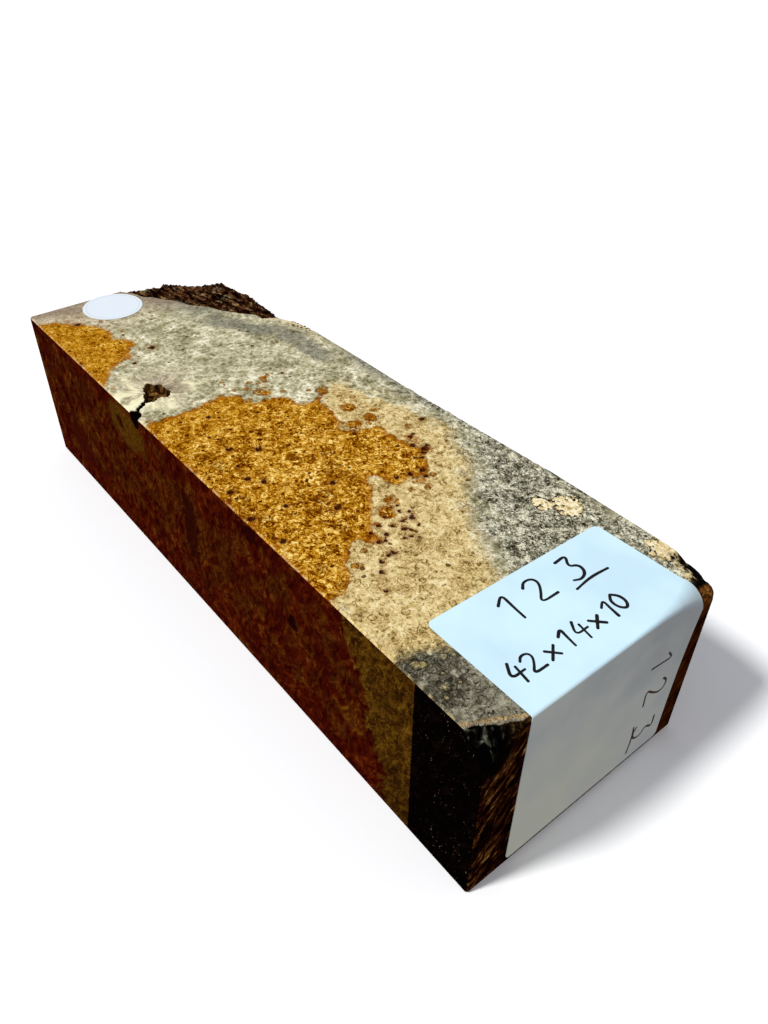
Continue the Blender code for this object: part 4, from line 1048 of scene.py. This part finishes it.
class Recipe:
    """A Geometry Nodes tree with named inputs, which ends in Realize Instances and Set Material."""

    def __init__(self, name, **kinds):
        self.tree = bpy.data.node_groups.new(name, "GeometryNodeTree")
        self.tree.interface.new_socket("Geometry", in_out="INPUT", socket_type="NodeSocketGeometry")
        self.tree.interface.new_socket("Geometry", in_out="OUTPUT", socket_type="NodeSocketGeometry")
        self.slots = {key: self.tree.interface.new_socket(key, in_out="INPUT", socket_type=kind).identifier
                      for key, kind in kinds.items()}
        self.given = self.tree.nodes.new("NodeGroupInput").outputs
        self.made = self.tree.nodes.new("NodeGroupOutput")

    def node(self, kind, feeds=None, **settings):
        made = self.tree.nodes.new(kind)
        for key, value in settings.items():
            setattr(made, key, value)
        for key, value in (feeds or {}).items():
            if isinstance(value, bpy.types.NodeSocket):
                self.tree.links.new(value, made.inputs[key])
            else:
                made.inputs[key].default_value = value
        return made.outputs

    def finish(self, geometry):
        whole = self.node("GeometryNodeRealizeInstances", {0: geometry})[0]
        smooth = self.node("GeometryNodeSetShadeSmooth", {0: whole})[0]
        painted = self.node("GeometryNodeSetMaterial", {0: smooth, "Material": self.given["Material"]})[0]
        self.tree.links.new(painted, self.made.inputs[0])

    def grow(self, name, source, **inputs):
        """Run the tree on a mesh and keep its result as a plain mesh object."""
        seed = bpy.data.objects.new(name + "_source", source)
        bpy.context.scene.collection.objects.link(seed)
        modifier = seed.modifiers.new(name, "NODES")
        modifier.node_group = self.tree
        for key, value in inputs.items():
            modifier[self.slots[key]] = value
        result = bpy.data.meshes.new_from_object(seed.evaluated_get(bpy.context.evaluated_depsgraph_get()))
        seed.modifiers.remove(modifier)
        bpy.data.objects.remove(seed)
        piece = bpy.data.objects.new(name, result)
        bpy.context.scene.collection.objects.link(piece)
        return piece


pen = Recipe("pen_stroke", Width="NodeSocketFloat", Thickness="NodeSocketFloat", Paper="NodeSocketVector",
             Facing="NodeSocketVector", Material="NodeSocketMaterial")
stroke = pen.node("GeometryNodeMeshToCurve", {0: pen.given["Geometry"]})[0]
half_width = pen.node("ShaderNodeMath", {0: pen.given["Width"], 1: 0.5}, operation="MULTIPLY")[0]
pressure = pen.node("ShaderNodeTexNoise", {"Scale": 90.0, "Detail": 1.0})[0]
pressure = pen.node("ShaderNodeMapRange", {0: pressure, 1: 0.3, 2: 0.7, 3: 0.8, 4: 1.2})[0]
tip = pen.node("GeometryNodeCurvePrimitiveCircle", {"Resolution": 12, "Radius": half_width})[0]
drawn_line = pen.node("GeometryNodeCurveToMesh", {0: stroke, 1: tip, "Scale": pressure, "Fill Caps": True})[0]
ball = pen.node("GeometryNodeMeshIcoSphere", {"Radius": half_width, "Subdivisions": 3})[0]
ends = pen.node("GeometryNodeCurveEndpointSelection")[0]
dots = pen.node("GeometryNodeInstanceOnPoints", {"Points": stroke, "Selection": ends, "Instance": ball,
                                                 "Scale": pressure})[0]
both = pen.node("GeometryNodeJoinGeometry")
pen.tree.links.new(drawn_line, pen.tree.nodes[-1].inputs[0])
pen.tree.links.new(pen.node("GeometryNodeRealizeInstances", {0: dots})[0], both[0].node.inputs[0])
at = pen.node("GeometryNodeInputPosition")[0]
above = pen.node("ShaderNodeVectorMath", {0: at, 1: pen.given["Paper"]}, operation="SUBTRACT")[0]
above = pen.node("ShaderNodeVectorMath", {0: above, 1: pen.given["Facing"]}, operation="DOT_PRODUCT")[1]
squash = pen.node("ShaderNodeMath", {0: pen.given["Thickness"], 1: pen.given["Width"]}, operation="DIVIDE")[0]
squash = pen.node("ShaderNodeMath", {0: squash, 1: 1.0}, operation="SUBTRACT")[0]
move = pen.node("ShaderNodeMath", {0: above, 1: squash}, operation="MULTIPLY")[0]
move = pen.node("ShaderNodeVectorMath", {0: pen.given["Facing"], 3: move}, operation="SCALE")[0]
pen.finish(pen.node("GeometryNodeSetPosition", {0: both[0], "Offset": move})[0])

ink = Finish("pen_ink")
pen_ink = ink.finish(ink.colour(14, 14, 18), 0.45, Specular_IOR_Level=0.25)
PAPER_SIDES = {"top": ((0, 0, TOP + LABEL_FACE), (0, 0, 1)), "end": ((END_X + LABEL_FACE, 0, 0), (1, 0, 0))}
for face, (paper_at, facing) in PAPER_SIDES.items():
    kept = {old: new for new, old in enumerate(i for i, (on, _) in enumerate(strokes) if on == face)}
    lines_mesh = bpy.data.meshes.new("pen_lines_" + face)
    lines_mesh.from_pydata([strokes[i][1] for i in kept], [(kept[a], kept[b]) for a, b in links if a in kept],
                           [])
    writing = pen.grow("pen_writing_" + face, lines_mesh, Width=PEN_WIDTH * MM, Thickness=PEN_THICKNESS * MM,
                       Paper=[c * MM for c in paper_at], Facing=facing, Material=pen_ink)
    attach(writing, "root")

# A plain round white sticker lies flat on the sawn face near the far end, with one thin grey ring printed
# close to its rim.
STICKER_AT, STICKER_RADIUS, STICKER_UNDER, STICKER_FACE = (-190.3, -21.5), 19.05, 0.1, 0.34
STICKER_SIDES = 96
rounds = [2 * math.pi * i / STICKER_SIDES for i in range(STICKER_SIDES)]
disc = []
for radius, z in ((STICKER_RADIUS, STICKER_UNDER), (STICKER_RADIUS, STICKER_FACE - 0.04),
                  (STICKER_RADIUS - 0.05, STICKER_FACE)):
    disc += [Vector((STICKER_AT[0] + radius * math.cos(a), STICKER_AT[1] + radius * math.sin(a),
                     TOP + z)) * MM for a in rounds]
disc_faces = [tuple(range(STICKER_SIDES)), tuple(range(2 * STICKER_SIDES, 3 * STICKER_SIDES))]
for level in (0, STICKER_SIDES):
    disc_faces += [(level + i, level + (i + 1) % STICKER_SIDES,
                    level + STICKER_SIDES + (i + 1) % STICKER_SIDES,
                    level + STICKER_SIDES + i) for i in range(STICKER_SIDES)]
gummed = Finish("sticker_paper")
from_middle = gummed.vector("SUBTRACT", gummed.place, (*STICKER_AT, TOP + STICKER_FACE))
from_middle = gummed.node("ShaderNodeVectorMath", {0: from_middle}, operation="LENGTH").outputs["Value"]
printed = gummed.times(gummed.band(from_middle, 16.6, 16.8), gummed.band(from_middle, 17.3, 17.1))
sticker_colour = gummed.blend(gummed.times(printed, 0.25), gummed.colour(228, 238, 246),
                              gummed.colour(120, 124, 130))
sticker_paper = gummed.finish(sticker_colour, 0.5, Specular_IOR_Level=0.25)
sticker = place_piece("sticker_disc", disc, disc_faces, sticker_paper)
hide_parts("round_sticker")
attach(sticker, "root")

# Loose scales stand up from the bark. They are small curled flakes of it, strewn over the bark's own faces.
SCALE_SIZE, SCALE_SPREAD, SCALE_SEED = 2.0, 0.16, 7
SCALES_OFF_LINE, SCALES_END_X = 2.5, -0.085
bark_patch = bmesh.new()
bark_patch.from_mesh(block.data)
bark_patch.faces.ensure_lookup_table()
bare = [f for f in bark_patch.faces if f.material_index != BARKY
        or off_line[f.index] < SCALES_OFF_LINE or f.calc_center_median().x > SCALES_END_X]
bmesh.ops.delete(bark_patch, geom=bare, context="FACES")
bark_ground = bpy.data.meshes.new("bark_ground")
bark_patch.to_mesh(bark_ground)
bark_patch.free()

scales = Recipe("bark_scales", Size="NodeSocketFloat", Spread="NodeSocketFloat", Seed="NodeSocketInt",
                Material="NodeSocketMaterial")
density = scales.node("ShaderNodeMath", {0: scales.given["Spread"], 1: MM ** 2}, operation="DIVIDE")[0]
spots, facing, turned = scales.node("GeometryNodeDistributePointsOnFaces",
                                    {0: scales.given["Geometry"], "Density": density,
                                     "Seed": scales.given["Seed"]})
flake = scales.node("GeometryNodeMeshGrid", {"Size X": scales.given["Size"], "Size Y": scales.given["Size"],
                                             "Vertices X": 4, "Vertices Y": 4})[0]
flake_at = scales.node("GeometryNodeInputPosition")[0]
curled = scales.node("ShaderNodeTexNoise", {"Vector": flake_at, "Scale": 420.0, "Detail": 2.0})[1]
curled = scales.node("ShaderNodeVectorMath", {0: curled, 1: (0.5, 0.5, 0.38)}, operation="SUBTRACT")[0]
curled = scales.node("ShaderNodeVectorMath", {0: curled, 3: scales.given["Size"]}, operation="SCALE")[0]
flake = scales.node("GeometryNodeSetPosition", {0: flake, "Offset": curled})[0]
thick = scales.node("ShaderNodeMath", {0: scales.given["Size"], 1: 0.16}, operation="MULTIPLY")[0]
solid, _, _ = scales.node("GeometryNodeExtrudeMesh", {"Mesh": flake, "Offset Scale": thick,
                                                      "Individual": False})
under = scales.node("GeometryNodeFlipFaces", {0: flake})[0]
whole_flake = scales.node("GeometryNodeJoinGeometry")
scales.tree.links.new(solid, whole_flake[0].node.inputs[0])
scales.tree.links.new(under, whole_flake[0].node.inputs[0])
whole_flake = scales.node("GeometryNodeMergeByDistance", {0: whole_flake[0], "Distance": 1e-6})[0]
spin = scales.node("FunctionNodeRandomValue", {0: (-0.2, -0.2, -3.1), 1: (0.2, 0.2, 3.1),
                                               "Seed": scales.given["Seed"]}, data_type="FLOAT_VECTOR")[0]
spin = scales.node("FunctionNodeEulerToRotation", {0: spin})[0]
turned = scales.node("FunctionNodeRotateRotation", {0: turned, 1: spin}, rotation_space="LOCAL")[0]
size = scales.node("FunctionNodeRandomValue", {0: (0.5, 0.4, 0.5), 1: (1.5, 1.0, 1.2),
                                               "Seed": scales.given["Seed"]}, data_type="FLOAT_VECTOR")[0]
scales.finish(scales.node("GeometryNodeInstanceOnPoints", {"Points": spots, "Instance": whole_flake,
                                                           "Rotation": turned, "Scale": size})[0])
bark_scales = scales.grow("bark_scales", bark_ground, Size=SCALE_SIZE * MM, Spread=SCALE_SPREAD,
                          Seed=SCALE_SEED, Material=bark_face)
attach(bark_scales, "root")
